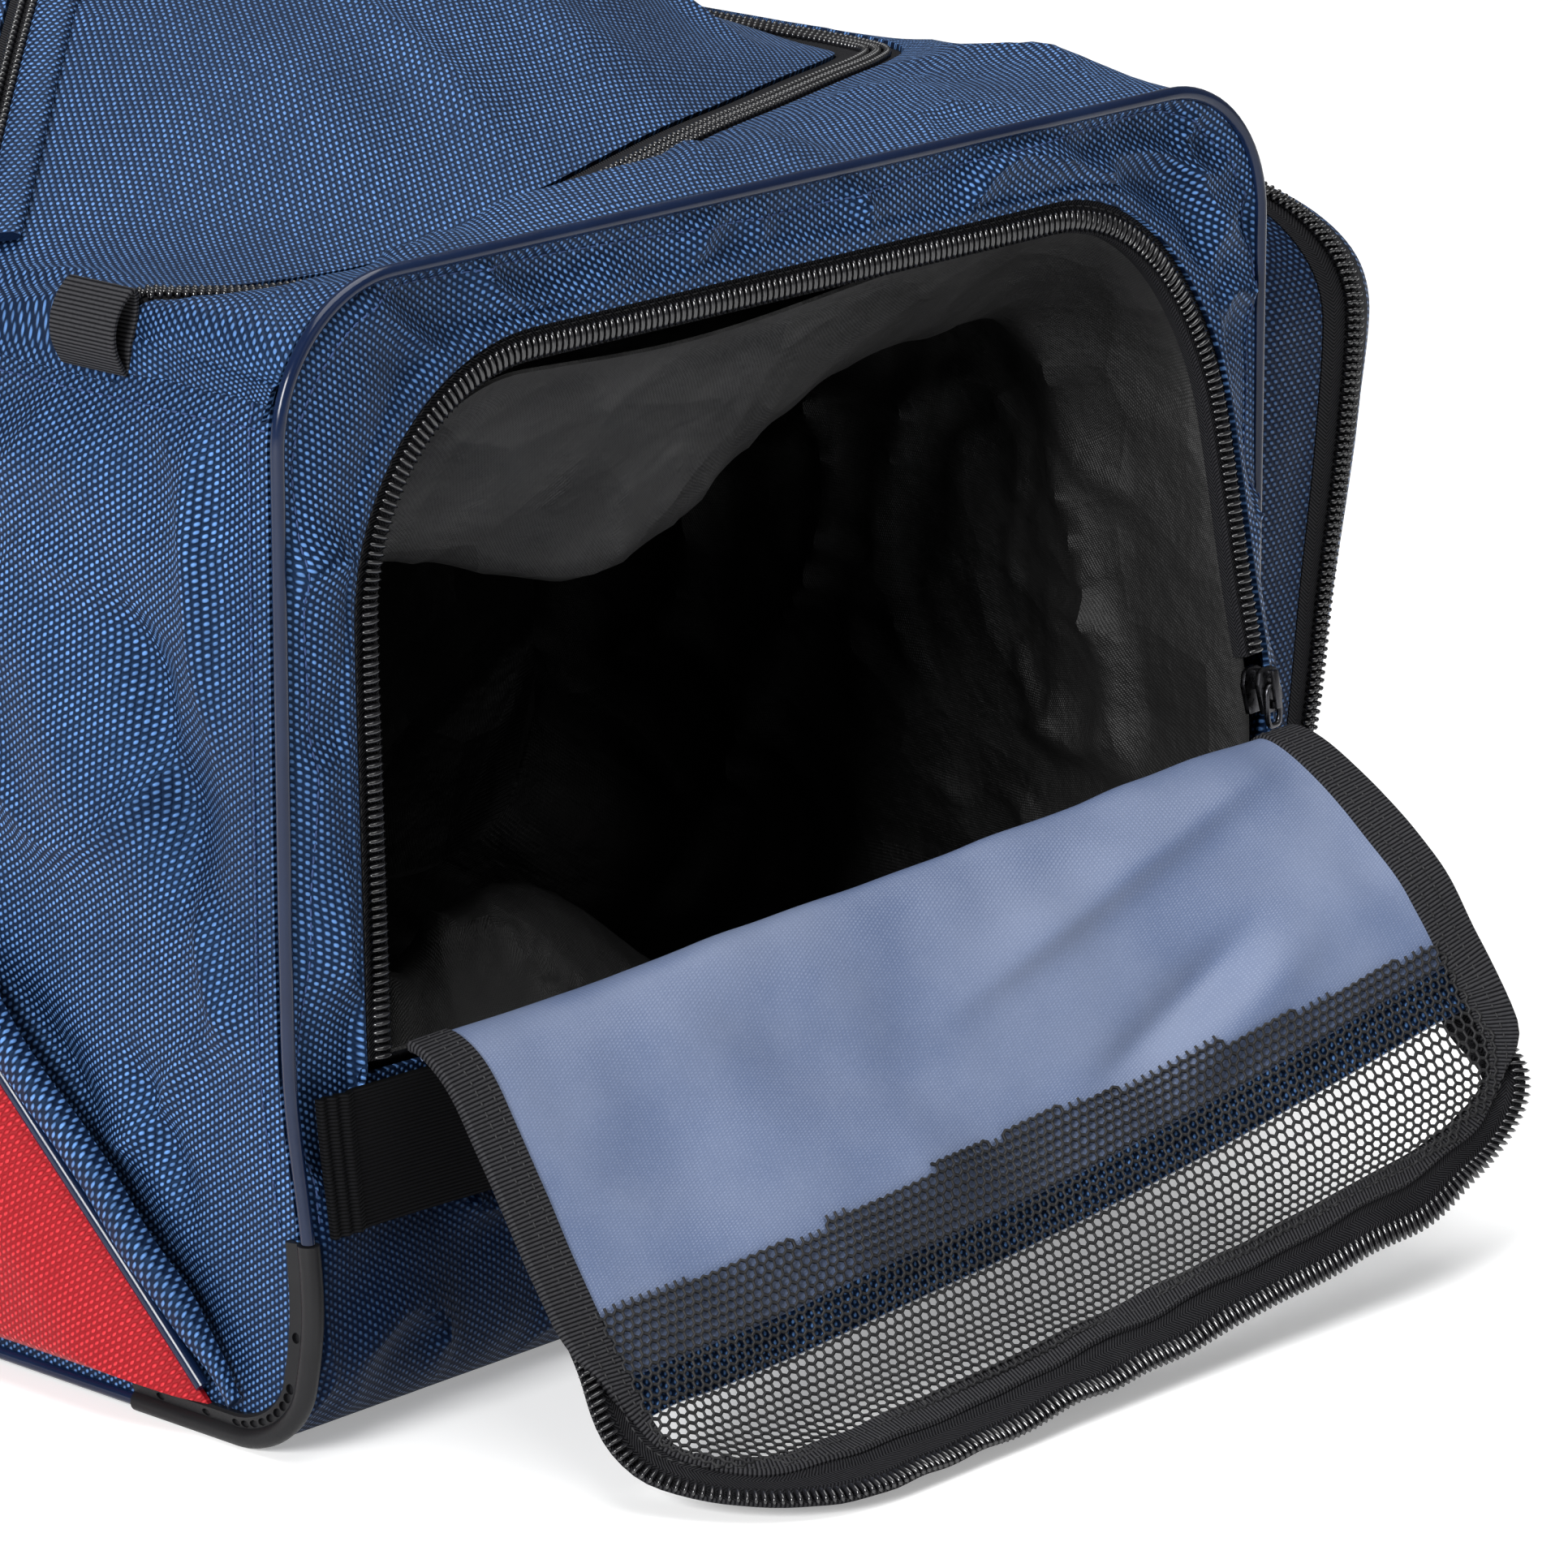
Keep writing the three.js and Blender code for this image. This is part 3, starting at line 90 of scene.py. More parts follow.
def hermite(knots, values, at):
    # smooth curve through values[k] at knots[k]; values may change from point to point
    knots = np.asarray(knots, float)
    values = [np.broadcast_to(np.asarray(value, float), np.shape(at)) for value in values]
    last = len(knots) - 1
    at = np.clip(at, knots[0], knots[-1])
    slopes = []
    for k in range(last + 1):
        low, high = max(k - 1, 0), min(k + 1, last)
        slopes.append((values[high] - values[low]) / (knots[high] - knots[low]))
    result = np.zeros(np.shape(at))
    for k in range(last):
        here = (at >= knots[k]) & (at <= knots[k + 1])
        step = knots[k + 1] - knots[k]
        t = (at - knots[k]) / step
        rise = values[k + 1] - values[k]
        start, end = slopes[k] * step, slopes[k + 1] * step
        bend = values[k] + start * t
        bend = bend + (3 * rise - 2 * start - end) * t**2 + (start + end - 2 * rise) * t**3
        result = np.where(here, bend, result)
    return result


def lookUp(rows, key, at, column):
    return hermite(rows[key], rows[column], np.asarray(at, float))


def smoothStep(low, high, at):
    t = np.clip((np.asarray(at, float) - low) / (high - low), 0, 1)
    return t * t * (3 - 2 * t)


def wander(points, size, seed):
    # even noise, about -1 to 1, at points given in millimetres
    shape = np.shape(points)[:-1]
    flat = np.asarray(points, float).reshape(-1, 3) / size + (seed * 17.3, seed * -9.1, seed * 5.7)
    values = [noise.noise(Vector(point)) for point in flat]
    return np.array(values).reshape(shape)


def waves(points, form, shift=0):
    # form: depth, size and seed
    depth, size, seed = form
    return depth * wander(points, size, seed + shift)


def ridges(points, form, shift=0):
    # thin creases along the noise's zero lines; the form's level is taken off, to keep the cloth in place
    depth, size, seed, level = form
    thin = np.clip(1 - 4 * np.abs(wander(points, size, seed + shift)), 0, 1) ** 2
    return depth * (thin - level)


def foldAlong(u, v, folds):
    # soft creases, each from one point to another, with its own width on either side of the line
    push = np.zeros(np.shape(u))
    for k in range(len(folds["depth"])):
        fold = {key: column[k] for key, column in folds.items()}
        (u0, v0), (u1, v1) = fold["start"], fold["end"]
        length = math.hypot(u1 - u0, v1 - v0)
        along = ((u - u0) * (u1 - u0) + (v - v0) * (v1 - v0)) / length**2
        off = ((u - u0) * (v1 - v0) - (v - v0) * (u1 - u0)) / length
        width = np.where(off < 0, fold["before"], fold["after"])
        ends = smoothStep(-0.35, 0.25, along) * smoothStep(1.35, 0.75, along)
        push = push + fold["depth"] * ends / (1 + (off / width) ** 2) ** 2
    return push


# Surfaces of the bag
def frontSwell(x, z):
    knots = [-halfWidth, -mouth["half"], 0, mouth["half"], halfWidth]
    columns = ["edge", "left", "middle", "right", "edge"]
    return hermite(knots, [lookUp(frontRows, "z", z, column) for column in columns], x)


def upFromSeam(z):
    return z - body["floorRadius"] * (1 - math.pi / 2)


def turnUnder(distance):
    radius = body["floorRadius"]
    angle = np.minimum(distance / radius, math.pi / 2)
    y = radius * (1 - np.sin(angle))
    z = radius * (1 - np.cos(angle)) + np.maximum(distance - radius * math.pi / 2, 0)
    return y, z


def frontPoint(x, distance):
    x, distance = np.broadcast_arrays(np.asarray(x, float), np.asarray(distance, float))
    y, z = turnUnder(distance)
    return np.stack([x, y - frontSwell(x, z), z], axis=-1)


def farPoint(x, distance):
    x, distance = np.broadcast_arrays(np.asarray(x, float), np.asarray(distance, float))
    y, z = turnUnder(distance)
    upper = np.sin(math.pi * smoothStep(130, body["height"] + 60, z))
    dome = np.maximum(np.cos(math.pi * x / body["width"]) * upper, 0)
    return np.stack([x, body["length"] - y + body["farBulge"] * dome, z], axis=-1)


def archX(z):
    above = np.maximum(z - (body["height"] - body["topRadius"]), 0)
    return halfWidth - body["topRadius"] + np.sqrt(np.maximum(body["topRadius"] ** 2 - above**2, 0))


def archZ(x):
    beyond = np.maximum(np.abs(x) - (halfWidth - body["topRadius"]), 0)
    return body["height"] - body["topRadius"] + np.sqrt(np.maximum(body["topRadius"] ** 2 - beyond**2, 0))


def sideX(y, z):
    near = np.clip(np.minimum(y, body["length"] - y) / 160, 0, 1)
    swell = body["sideBulge"] * (1 - (1 - near) ** 2)
    return archX(z) + swell * np.sin(math.pi * np.minimum(z, body["seam"]) / body["seam"])


lidForm = {"rise": 60, "ramp": 220, "centre": -15, "half": 172}


def lidPoint(x, y, lift=0):
    x, y = np.broadcast_arrays(np.asarray(x, float), np.asarray(y, float))
    inside = np.maximum(np.minimum(y, body["length"] - y) - lookUp(topRows, "zipX", x, "zipY"), 0)
    along = np.sin(math.pi / 2 * np.minimum(inside / lidForm["ramp"], 1)) ** 0.8
    across = np.maximum(1 - (np.abs(x - lidForm["centre"]) / lidForm["half"]) ** 2.4, 0)
    z = lookUp(topRows, "zipX", x, "zipZ") + lidForm["rise"] * along * across + lift
    return np.stack([x, y, z], axis=-1)


mouth = {
    "half": 170, "top": 294, "hinge": 105, "radius": 64, "doorLength": 187, "doorBand": 24, "doorTape": 12,
    "netStart": 98, "hemEnd": 133, "edgeStart": 14, "sliderHeight": 147, "ripple": (2.0, 19, 33),
}


def doorPoint(x, along):
    x, along = np.broadcast_arrays(np.asarray(x, float), np.asarray(along, float))
    t = x / mouth["half"]

    def blend(left, middle, right):
        return middle + (right - left) / 2 * t + ((right + left) / 2 - middle) * t * t

    at = {column: lookUp(doorRows, "along", along, column) for column in doorRows if column != "along"}
    y = blend(at["leftY"], at["middleY"], at["rightY"])
    z = blend(at["leftZ"], at["middleZ"], at["rightZ"])
    hingeY = 1 - frontSwell(x, np.full_like(x, mouth["hinge"]))
    first = [doorRows[column][0] for column in ("leftY", "middleY", "rightY")]
    place = np.stack([x, y + (hingeY - blend(*first)) * np.maximum(0, 1 - along / 40), z], axis=-1)
    # puckers of the sewn edge, strongest at the free end
    inside = np.minimum(mouth["half"] - np.abs(x), mouth["doorLength"] - along)
    slack = smoothStep(48, 14, inside) * smoothStep(30, 130, along)
    place[..., 2] += slack * waves(np.stack([x, along, x * 0], axis=-1), mouth["ripple"])
    return place


def framesOn(surface, u, v, outU, outV, flip=1):
    # place, across and up at stations of an outline that lies on a surface
    nudge = 0.5
    alongU = surface(u + nudge, v) - surface(u - nudge, v)
    alongV = surface(u, v + nudge) - surface(u, v - nudge)
    up = unit(np.cross(alongU, alongV)) * flip
    across = unit(alongU * np.asarray(outU)[..., None] + alongV * np.asarray(outV)[..., None])
    return surface(u, v), across, up


def unit(vectors):
    return vectors / np.maximum(np.linalg.norm(vectors, axis=-1, keepdims=True), 1e-9)


def roundedLoop(left, right, bottom, top, lower, upper, side, arc, across, foot=1):
    # clockwise from the foot of the left side: u, v, outU, outV for each station
    stations = []

    def straight(start, end, steps, out):
        for k in range(steps):
            t = k / steps
            stations.append((start[0] + (end[0] - start[0]) * t, start[1] + (end[1] - start[1]) * t, *out))

    def corner(cu, cv, radius, begin, steps):
        for k in range(steps):
            angle = begin - math.pi / 2 * k / steps
            outU, outV = math.cos(angle), math.sin(angle)
            stations.append((cu + radius * outU, cv + radius * outV, outU, outV))

    straight((left, bottom + lower), (left, top - upper), side, (-1, 0))
    corner(left + upper, top - upper, upper, math.pi, arc)
    straight((left + upper, top), (right - upper, top), across, (0, 1))
    corner(right - upper, top - upper, upper, math.pi / 2, arc)
    straight((right, top - upper), (right, bottom + lower), side, (1, 0))
    corner(right - lower, bottom + lower, lower, 0, foot)
    straight((right - lower, bottom), (left + lower, bottom), across, (0, -1))
    corner(left + lower, bottom + lower, lower, -math.pi / 2, foot)
    return np.array(stations).T


def wallLoop(inset, **steps):
    return roundedLoop(
        inset - halfWidth, halfWidth - inset, 0, upFromSeam(body["height"] - inset), 2,
        body["topRadius"] - inset, **steps)


def mouthLoop(grow, bottom=None, **steps):
    foot = mouth["hinge"] if bottom is None else bottom
    return roundedLoop(
        -mouth["half"] - grow, mouth["half"] + grow, upFromSeam(foot), upFromSeam(mouth["top"] + grow), 2,
        mouth["radius"] + grow, **steps)


# Mesh makers
def inScene(name, data):
    piece = bpy.data.objects.new(name, data)
    bpy.context.scene.collection.objects.link(piece)
    return piece


def meshPiece(name, points, quads, caps, materials, uv, faceSlots=None, values=None, sharp=50):
    faces = [list(map(int, quad)) for quad in quads] + [list(map(int, cap)) for cap in caps]
    middle = points.mean(axis=0)
    a, b, c, d = [points[np.asarray(quads)[:, k]] - middle for k in range(4)]
    if np.sum(a * np.cross(b, c)) + np.sum(a * np.cross(c, d)) < 0:
        faces = [face[::-1] for face in faces]
    mesh = bpy.data.meshes.new(name)
    mesh.from_pydata(toFrame(points).tolist(), [], faces)
    for material in materials:
        mesh.materials.append(material)
    if faceSlots is not None:
        mesh.polygons.foreach_set("material_index", np.asarray(faceSlots, np.int32))
    corners = np.empty(len(mesh.loops), np.int32)
    mesh.loops.foreach_get("vertex_index", corners)
    layer = mesh.uv_layers.new(name="cloth")
    layer.data.foreach_set("uv", np.asarray(uv, np.float32)[corners].ravel())
    for key, column in (values or {}).items():
        layer = mesh.attributes.new(key, "FLOAT", "POINT")
        layer.data.foreach_set("value", np.asarray(column, np.float32).ravel())
    mesh.polygons.foreach_set("use_smooth", np.ones(len(mesh.polygons), bool))
    mesh.set_sharp_from_angle(angle=math.radians(sharp))
    mesh.update()
    return inScene(name, mesh)


def standIn(piece, nodes, rideOn=bagBody):
    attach(piece, rideOn)
    if nodes:
        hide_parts(*nodes)
    return piece


def slope(grid, axis, loop):
    if not loop:
        return np.gradient(grid, axis=axis)
    return (np.roll(grid, -1, axis=axis) - np.roll(grid, 1, axis=axis)) / 2


def gridNormals(grid, loop=False):
    return unit(np.cross(slope(grid, 0, False), slope(grid, 1, loop)))


def sheetPiece(name, grid, thickness, materials, uv, loop=False, closeEnd=False, values=None, toward=None):
    # cloth on a grid of points, thickened to the side that the sign of thickness gives
    rows, columns = grid.shape[:2]
    inward = gridNormals(grid, loop) * np.sign(thickness) if toward is None else toward
    points = np.concatenate([grid.reshape(-1, 3), (grid + inward * abs(thickness)).reshape(-1, 3)])
    layer = rows * columns
    index = np.arange(layer).reshape(rows, columns)
    if loop:
        index = np.concatenate([index, index[:, :1]], axis=1)
    outer = np.stack([index[:-1, :-1], index[:-1, 1:], index[1:, 1:], index[1:, :-1]], axis=-1)
    outer = outer.reshape(-1, 4)
    inner = outer[:, ::-1] + layer

    def rim(line, turned):
        band = np.stack([line[:-1], line[:-1] + layer, line[1:] + layer, line[1:]], axis=-1)
        return band[:, ::-1] if turned else band

    rims = [rim(index[0], False)]
    caps = []
    if closeEnd:
        ring = index[-1, :-1] if loop else index[-1]
        caps = [list(ring), list(ring[::-1] + layer)]
    else:
        rims.append(rim(index[-1], True))
    if not loop:
        rims += [rim(index[:, 0], True), rim(index[:, -1], False)]
    quads = np.concatenate([outer, inner, *rims])
    back = len(materials) - 1
    slots = [0] * len(outer) + [back] * len(inner) + [0] * (len(quads) - 2 * len(outer))
    slots += [0, back][: len(caps)]
    columnsOf = {key: np.concatenate([value.ravel()] * 2) for key, value in (values or {}).items()}
    uvs = np.concatenate([uv.reshape(-1, 2)] * 2)
    return meshPiece(name, points, quads, caps, materials, uvs, slots, columnsOf)


def stripPiece(name, rings, materials, loop=False, sharp=35, uvAcross=None):
    # solid strip through rings of points, shape (stations, section, 3)
    stations, size = rings.shape[:2]
    index = np.arange(stations * size).reshape(stations, size)
    index = np.concatenate([index, index[:, :1]], axis=1)
    if loop:
        index = np.concatenate([index, index[:1]], axis=0)
    quads = np.stack([index[:-1, :-1], index[1:, :-1], index[1:, 1:], index[:-1, 1:]], axis=-1)
    caps = [] if loop else [list(index[0, :-1]), list(index[-1, :-1][::-1])]
    middle = rings.mean(axis=1)
    along = np.concatenate([[0], np.cumsum(np.linalg.norm(np.diff(middle, axis=0), axis=1))])
    if uvAcross is None:
        step = np.linalg.norm(np.diff(rings[0], axis=0), axis=1)
        uvAcross = np.concatenate([[0], np.cumsum(step)])
    uv = np.stack(np.broadcast_arrays(along[:, None], np.asarray(uvAcross)[None, :]), axis=-1) * mm
    return meshPiece(name, rings.reshape(-1, 3), quads.reshape(-1, 4), caps, materials, uv.reshape(-1, 2),
                     sharp=sharp)


def carried(place, across, up, section):
    section = np.asarray(section, float)
    return place[:, None] + across[:, None] * section[None, :, :1] + up[:, None] * section[None, :, 1:]


def laidOn(surface, stations, section, flip=1):
    # rings of a strip that follows the surface at each point of its section
    u, v, outU, outV = stations
    rings = []
    for offset, height in section:
        place, _, up = framesOn(surface, u + outU * offset, v + outV * offset, outU, outV, flip)
        rings.append(place + up * np.reshape(height, (-1, 1)))
    return np.stack(rings, axis=1)


def roundSection(radius, sides=12, squash=1.0):
    angle = 2 * math.pi * np.arange(sides) / sides
    return np.stack([radius * np.cos(angle), squash * radius * np.sin(angle)], axis=-1)


def flatSection(low, high, bottom, top, soften=0.4):
    # rectangle with eased corners
    return [
        (low + soften, bottom), (high - soften, bottom), (high, bottom + soften), (high, top - soften),
        (high - soften, top), (low + soften, top), (low, top - soften), (low, bottom + soften),
    ]


def evenStations(place, across, up, pitch, start=0.5):
    length = np.concatenate([[0], np.cumsum(np.linalg.norm(np.diff(place, axis=0), axis=1))])
    count = max(int(length[-1] / pitch), 1)
    at = (np.arange(count) + start) * length[-1] / count

    def spread(vectors):
        return np.stack([np.interp(at, length, vectors[:, k]) for k in range(3)], axis=-1)

    return spread(place), unit(spread(across)), unit(spread(up))


# Geometry Nodes: small shapes set along a path, and strands along the edges of a net
def addNode(tree, kind, values=None, **settings):
    node = tree.nodes.new(kind)
    for key, value in settings.items():
        setattr(node, key, value)
    for socket, value in (values or {}).items():
        if isinstance(value, bpy.types.NodeSocket):
            tree.links.new(value, node.inputs[socket])
        else:
            node.inputs[socket].default_value = value
    return node


def openTree(name, inputs):
    tree = bpy.data.node_groups.new(name, "GeometryNodeTree")
    tree.interface.new_socket("Geometry", in_out="INPUT", socket_type="NodeSocketGeometry")
    for label, kind in inputs.items():
        tree.interface.new_socket(label, in_out="INPUT", socket_type=kind)
    tree.interface.new_socket("Geometry", in_out="OUTPUT", socket_type="NodeSocketGeometry")
    return tree, addNode(tree, "NodeGroupInput").outputs


def closeTree(tree, geometry, material):
    smooth = addNode(tree, "GeometryNodeSetShadeSmooth", {"Geometry": geometry})
    painted = addNode(tree, "GeometryNodeSetMaterial", {
        "Geometry": smooth.outputs[0], "Material": material})
    addNode(tree, "NodeGroupOutput", {"Geometry": painted.outputs[0]})


def beadTree(name, lobes, segments=8, rings=5):
    # lobes: where each bead of one repeat sits across the path, as shares of Reach, and its length share
    tree, given = openTree(name, {
        "Reach": "NodeSocketFloat", "Girth": "NodeSocketFloat", "Rise": "NodeSocketFloat",
        "Material": "NodeSocketMaterial",
    })
    joined = addNode(tree, "GeometryNodeJoinGeometry")
    for middle, share in lobes:
        ball = addNode(tree, "GeometryNodeMeshUVSphere", {
            "Segments": segments, "Rings": rings, "Radius": 1.0})
        place = addNode(tree, "ShaderNodeMath", {0: given["Reach"], 1: middle}, operation="MULTIPLY")
        long = addNode(tree, "ShaderNodeMath", {0: given["Reach"], 1: share}, operation="MULTIPLY")
        offset = addNode(tree, "ShaderNodeCombineXYZ", {"Y": place.outputs[0]})
        size = addNode(tree, "ShaderNodeCombineXYZ", {
            "X": given["Girth"], "Y": long.outputs[0], "Z": given["Rise"]})
        shaped = addNode(tree, "GeometryNodeTransform", {
            "Geometry": ball.outputs["Mesh"], "Translation": offset.outputs[0], "Scale": size.outputs[0]})
        tree.links.new(shaped.outputs[0], joined.inputs[0])
    along, up = [
        addNode(tree, "GeometryNodeInputNamedAttribute", {"Name": label}, data_type="FLOAT_VECTOR")
        for label in ("alongPath", "upPath")]
    turn = addNode(tree, "FunctionNodeAxesToRotation", {
        "Primary Axis": along.outputs["Attribute"], "Secondary Axis": up.outputs["Attribute"]},
        primary_axis="X", secondary_axis="Z")
    placed = addNode(tree, "GeometryNodeInstanceOnPoints", {
        "Points": given["Geometry"], "Instance": joined.outputs[0], "Rotation": turn.outputs[0]})
    real = addNode(tree, "GeometryNodeRealizeInstances", {"Geometry": placed.outputs[0]})
    closeTree(tree, real.outputs[0], given["Material"])
    return tree


def strandTree(name):
    tree, given = openTree(name, {"Girth": "NodeSocketFloat", "Material": "NodeSocketMaterial"})
    curves = addNode(tree, "GeometryNodeMeshToCurve", {"Mesh": given["Geometry"]})
    ring = addNode(tree, "GeometryNodeCurvePrimitiveCircle", {"Resolution": 4, "Radius": given["Girth"]})
    tubes = addNode(tree, "GeometryNodeCurveToMesh", {
        "Curve": curves.outputs[0], "Profile Curve": ring.outputs["Curve"], "Fill Caps": True})
    real = addNode(tree, "GeometryNodeRealizeInstances", {"Geometry": tubes.outputs[0]})
    closeTree(tree, real.outputs[0], given["Material"])
    return tree


def grown(name, points, edges, tree, inputs, vectors=None):
    # runs a tree once on points and edges, and keeps the result as a plain mesh
    seedMesh = bpy.data.meshes.new(name)
    seedMesh.from_pydata(toFrame(points).tolist(), edges, [])
    for key, column in (vectors or {}).items():
        layer = seedMesh.attributes.new(key, "FLOAT_VECTOR", "POINT")
        layer.data.foreach_set("vector", np.asarray(column, np.float32).ravel())
    piece = inScene(name, seedMesh)
    modifier = piece.modifiers.new("grow", "NODES")
    modifier.node_group = tree
    for item in tree.interface.items_tree:
        if item.in_out == "INPUT" and item.name in inputs:
            modifier[item.identifier] = inputs[item.name]
    depsgraph = bpy.context.evaluated_depsgraph_get()
    mesh = bpy.data.meshes.new_from_object(piece.evaluated_get(depsgraph), depsgraph=depsgraph)
    piece.modifiers.clear()
    piece.data = mesh
    bpy.data.meshes.remove(seedMesh)
    mesh.name = name
    return piece


coilTree = beadTree("coilTeeth", [(-0.56, 0.48), (0.52, 0.52)], segments=6, rings=4)
barTree = beadTree("barTeeth", [(0.0, 1.0)])
stitchTree = beadTree("stitchRow", [(0.0, 1.0)], segments=6, rings=4)
netTree = strandTree("netStrands")


def teethAlong(name, place, across, up, coil):
    at, side, top = evenStations(place, across, up, coil["pitch"], coil.get("start", 0.5))
    inputs = {"Reach": coil["reach"] * mm, "Girth": coil["girth"] * mm, "Rise": coil["rise"] * mm,
              "Material": zipCoil}
    teeth = grown(name, at, [], coil["tree"], inputs, {"alongPath": np.cross(side, top), "upPath": top})
    standIn(teeth, [])


def stitchesAlong(name, place, up, thread):
    way = unit(np.gradient(place, axis=0))
    at, along, top = evenStations(place, way, up, thread["pitch"])
    inputs = {"Reach": thread["girth"] * mm, "Girth": thread["length"] / 2 * mm,
              "Rise": thread["girth"] * mm, "Material": thread["material"]}
    row = grown(name, at, [], stitchTree, inputs, {"alongPath": along, "upPath": top})
    standIn(row, [])


# Shader groups shared by the cloths
def openGroup(name, inputs, outputs):
    tree = bpy.data.node_groups.new(name, "ShaderNodeTree")
    for label, (kind, value) in inputs.items():
        socket = tree.interface.new_socket(label, in_out="INPUT", socket_type=kind)
        if value is not None:
            socket.default_value = value
    for label, kind in outputs.items():
        tree.interface.new_socket(label, in_out="OUTPUT", socket_type=kind)
    given = addNode(tree, "NodeGroupInput").outputs
    return tree, given, addNode(tree, "NodeGroupOutput")


def calc(tree, operation, a, b=0.0, c=0.0):
    return addNode(tree, "ShaderNodeMath", {0: a, 1: b, 2: c}, operation=operation).outputs[0]


def ramp(tree, value, low, high, toLow=0.0, toHigh=1.0):
    return addNode(tree, "ShaderNodeMapRange", {
        "Value": value, "From Min": low, "From Max": high, "To Min": toLow, "To Max": toHigh},
        interpolation_type="SMOOTHSTEP").outputs[0]


def speckle(tree, place, scale, detail, rough=0.5):
    return addNode(tree, "ShaderNodeTexNoise", {
        "Vector": place, "Scale": scale, "Detail": detail, "Roughness": rough}).outputs["Fac"]


def tint(tree, share, first, second):
    mix = addNode(tree, "ShaderNodeMix", {"Factor": share}, data_type="RGBA")
    for socket, value in ((mix.inputs[6], first), (mix.inputs[7], second)):
        if isinstance(value, bpy.types.NodeSocket):
            tree.links.new(value, socket)
        else:
            socket.default_value = (*value, 1)
    return mix.outputs[2]


def threadGroup():
    # Grain is the thread on top, each column of them half a repeat from the next, and slanted a little
    tree, given, made = openGroup(
        "steppedThreads",
        {"Vector": ("NodeSocketVector", None), "Across": ("NodeSocketFloat", 0.00165),
         "Along": ("NodeSocketFloat", 0.00217), "Step": ("NodeSocketFloat", 0.5)},
        {"Grain": "NodeSocketFloat", "Height": "NodeSocketFloat"})
    drift = speckle(tree, given["Vector"], 260.0, 1.0)
    shift = calc(tree, "MULTIPLY", calc(tree, "SUBTRACT", drift, 0.5), 0.2)
    apart = addNode(tree, "ShaderNodeSeparateXYZ", {"Vector": given["Vector"]})
    u = calc(tree, "ADD", calc(tree, "DIVIDE", apart.outputs["X"], given["Across"]), shift)
    column = calc(tree, "FLOOR", u)
    stepped = calc(tree, "MULTIPLY_ADD", column, given["Step"], shift)
    slanted = calc(tree, "MULTIPLY_ADD", calc(tree, "FRACT", u), 0.24, stepped)
    v = calc(tree, "ADD", calc(tree, "DIVIDE", apart.outputs["Y"], given["Along"]), slanted)
    lobeU = calc(tree, "SINE", calc(tree, "MULTIPLY", calc(tree, "FRACT", u), math.pi))
    lobeV = calc(tree, "SINE", calc(tree, "MULTIPLY", calc(tree, "FRACT", v), math.pi))
    lobe = calc(tree, "MULTIPLY", lobeU, calc(tree, "MULTIPLY", lobeV, lobeV))
    pick = addNode(tree, "ShaderNodeCombineXYZ", {"X": column, "Y": calc(tree, "FLOOR", v)})
    chance = addNode(tree, "ShaderNodeTexWhiteNoise", {"Vector": pick.outputs[0]}, noise_dimensions="2D")
    share = calc(tree, "MULTIPLY_ADD", chance.outputs["Value"], 0.5, 0.6)
    grain = calc(tree, "MULTIPLY", ramp(tree, lobe, 0.25, 0.9), share)
    tree.links.new(grain, made.inputs["Grain"])
    tree.links.new(lobe, made.inputs["Height"])
    return tree


def ribGroup():
    # ribs square to the strip's length, with a slant for twill tapes
    tree, given, made = openGroup(
        "strapRibs",
        {"Vector": ("NodeSocketVector", None), "Pitch": ("NodeSocketFloat", 0.0012),
         "Slant": ("NodeSocketFloat", 0.0), "Column": ("NodeSocketFloat", 0.002)},
        {"Rib": "NodeSocketFloat", "Height": "NodeSocketFloat"})
    apart = addNode(tree, "ShaderNodeSeparateXYZ", {"Vector": given["Vector"]})
    column = calc(tree, "DIVIDE", apart.outputs["Y"], given["Column"])
    fold = calc(tree, "PINGPONG", column, 1.0)
    lean = calc(tree, "MULTIPLY", fold, calc(tree, "MULTIPLY", given["Slant"], given["Column"]))
    run = calc(tree, "DIVIDE", calc(tree, "ADD", apart.outputs["X"], lean), given["Pitch"])
    wave = calc(tree, "SINE", calc(tree, "MULTIPLY", calc(tree, "FRACT", run), math.pi))
    fray = speckle(tree, given["Vector"], 900.0, 2.0)
    rib = calc(tree, "MULTIPLY", wave, calc(tree, "MULTIPLY_ADD", fray, 0.7, 0.6))
    tree.links.new(rib, made.inputs["Rib"])
    tree.links.new(wave, made.inputs["Height"])
    return tree


threads = threadGroup()
ribs = ribGroup()


def openMaterial(name, **plain):
    material = bpy.data.materials.new(name)
    material.use_nodes = True
    tree = material.node_tree
    tree.nodes.clear()
    shader = addNode(tree, "ShaderNodeBsdfPrincipled", plain)
    addNode(tree, "ShaderNodeOutputMaterial", {"Surface": shader.outputs[0]})
    return material, tree, shader


def feed(tree, shader, color, rough, height, strength, distance):
    bump = addNode(tree, "ShaderNodeBump", {"Strength": strength, "Distance": distance, "Height": height})
    for socket, value in (("Base Color", color), ("Roughness", rough), ("Normal", bump.outputs[0])):
        tree.links.new(value, shader.inputs[socket])


def clothPlace(tree):
    return addNode(tree, "ShaderNodeUVMap", uv_map="cloth").outputs[0]


def objectPlace(tree):
    return addNode(tree, "ShaderNodeTexCoord").outputs["Object"]


def marked(tree, label):
    # a value that the mesh carries at its points
    return addNode(tree, "ShaderNodeAttribute", attribute_name=label).outputs["Fac"]


def weaveOf(tree, across, along):
    return addNode(tree, "ShaderNodeGroup", {
        "Vector": clothPlace(tree), "Across": across, "Along": along}, node_tree=threads).outputs


clothWeave = {
    "across": 0.00165, "along": 0.00217, "relief": 0.7, "height": 0.0005, "shine": 0.55, "dusk": 0.74,
}


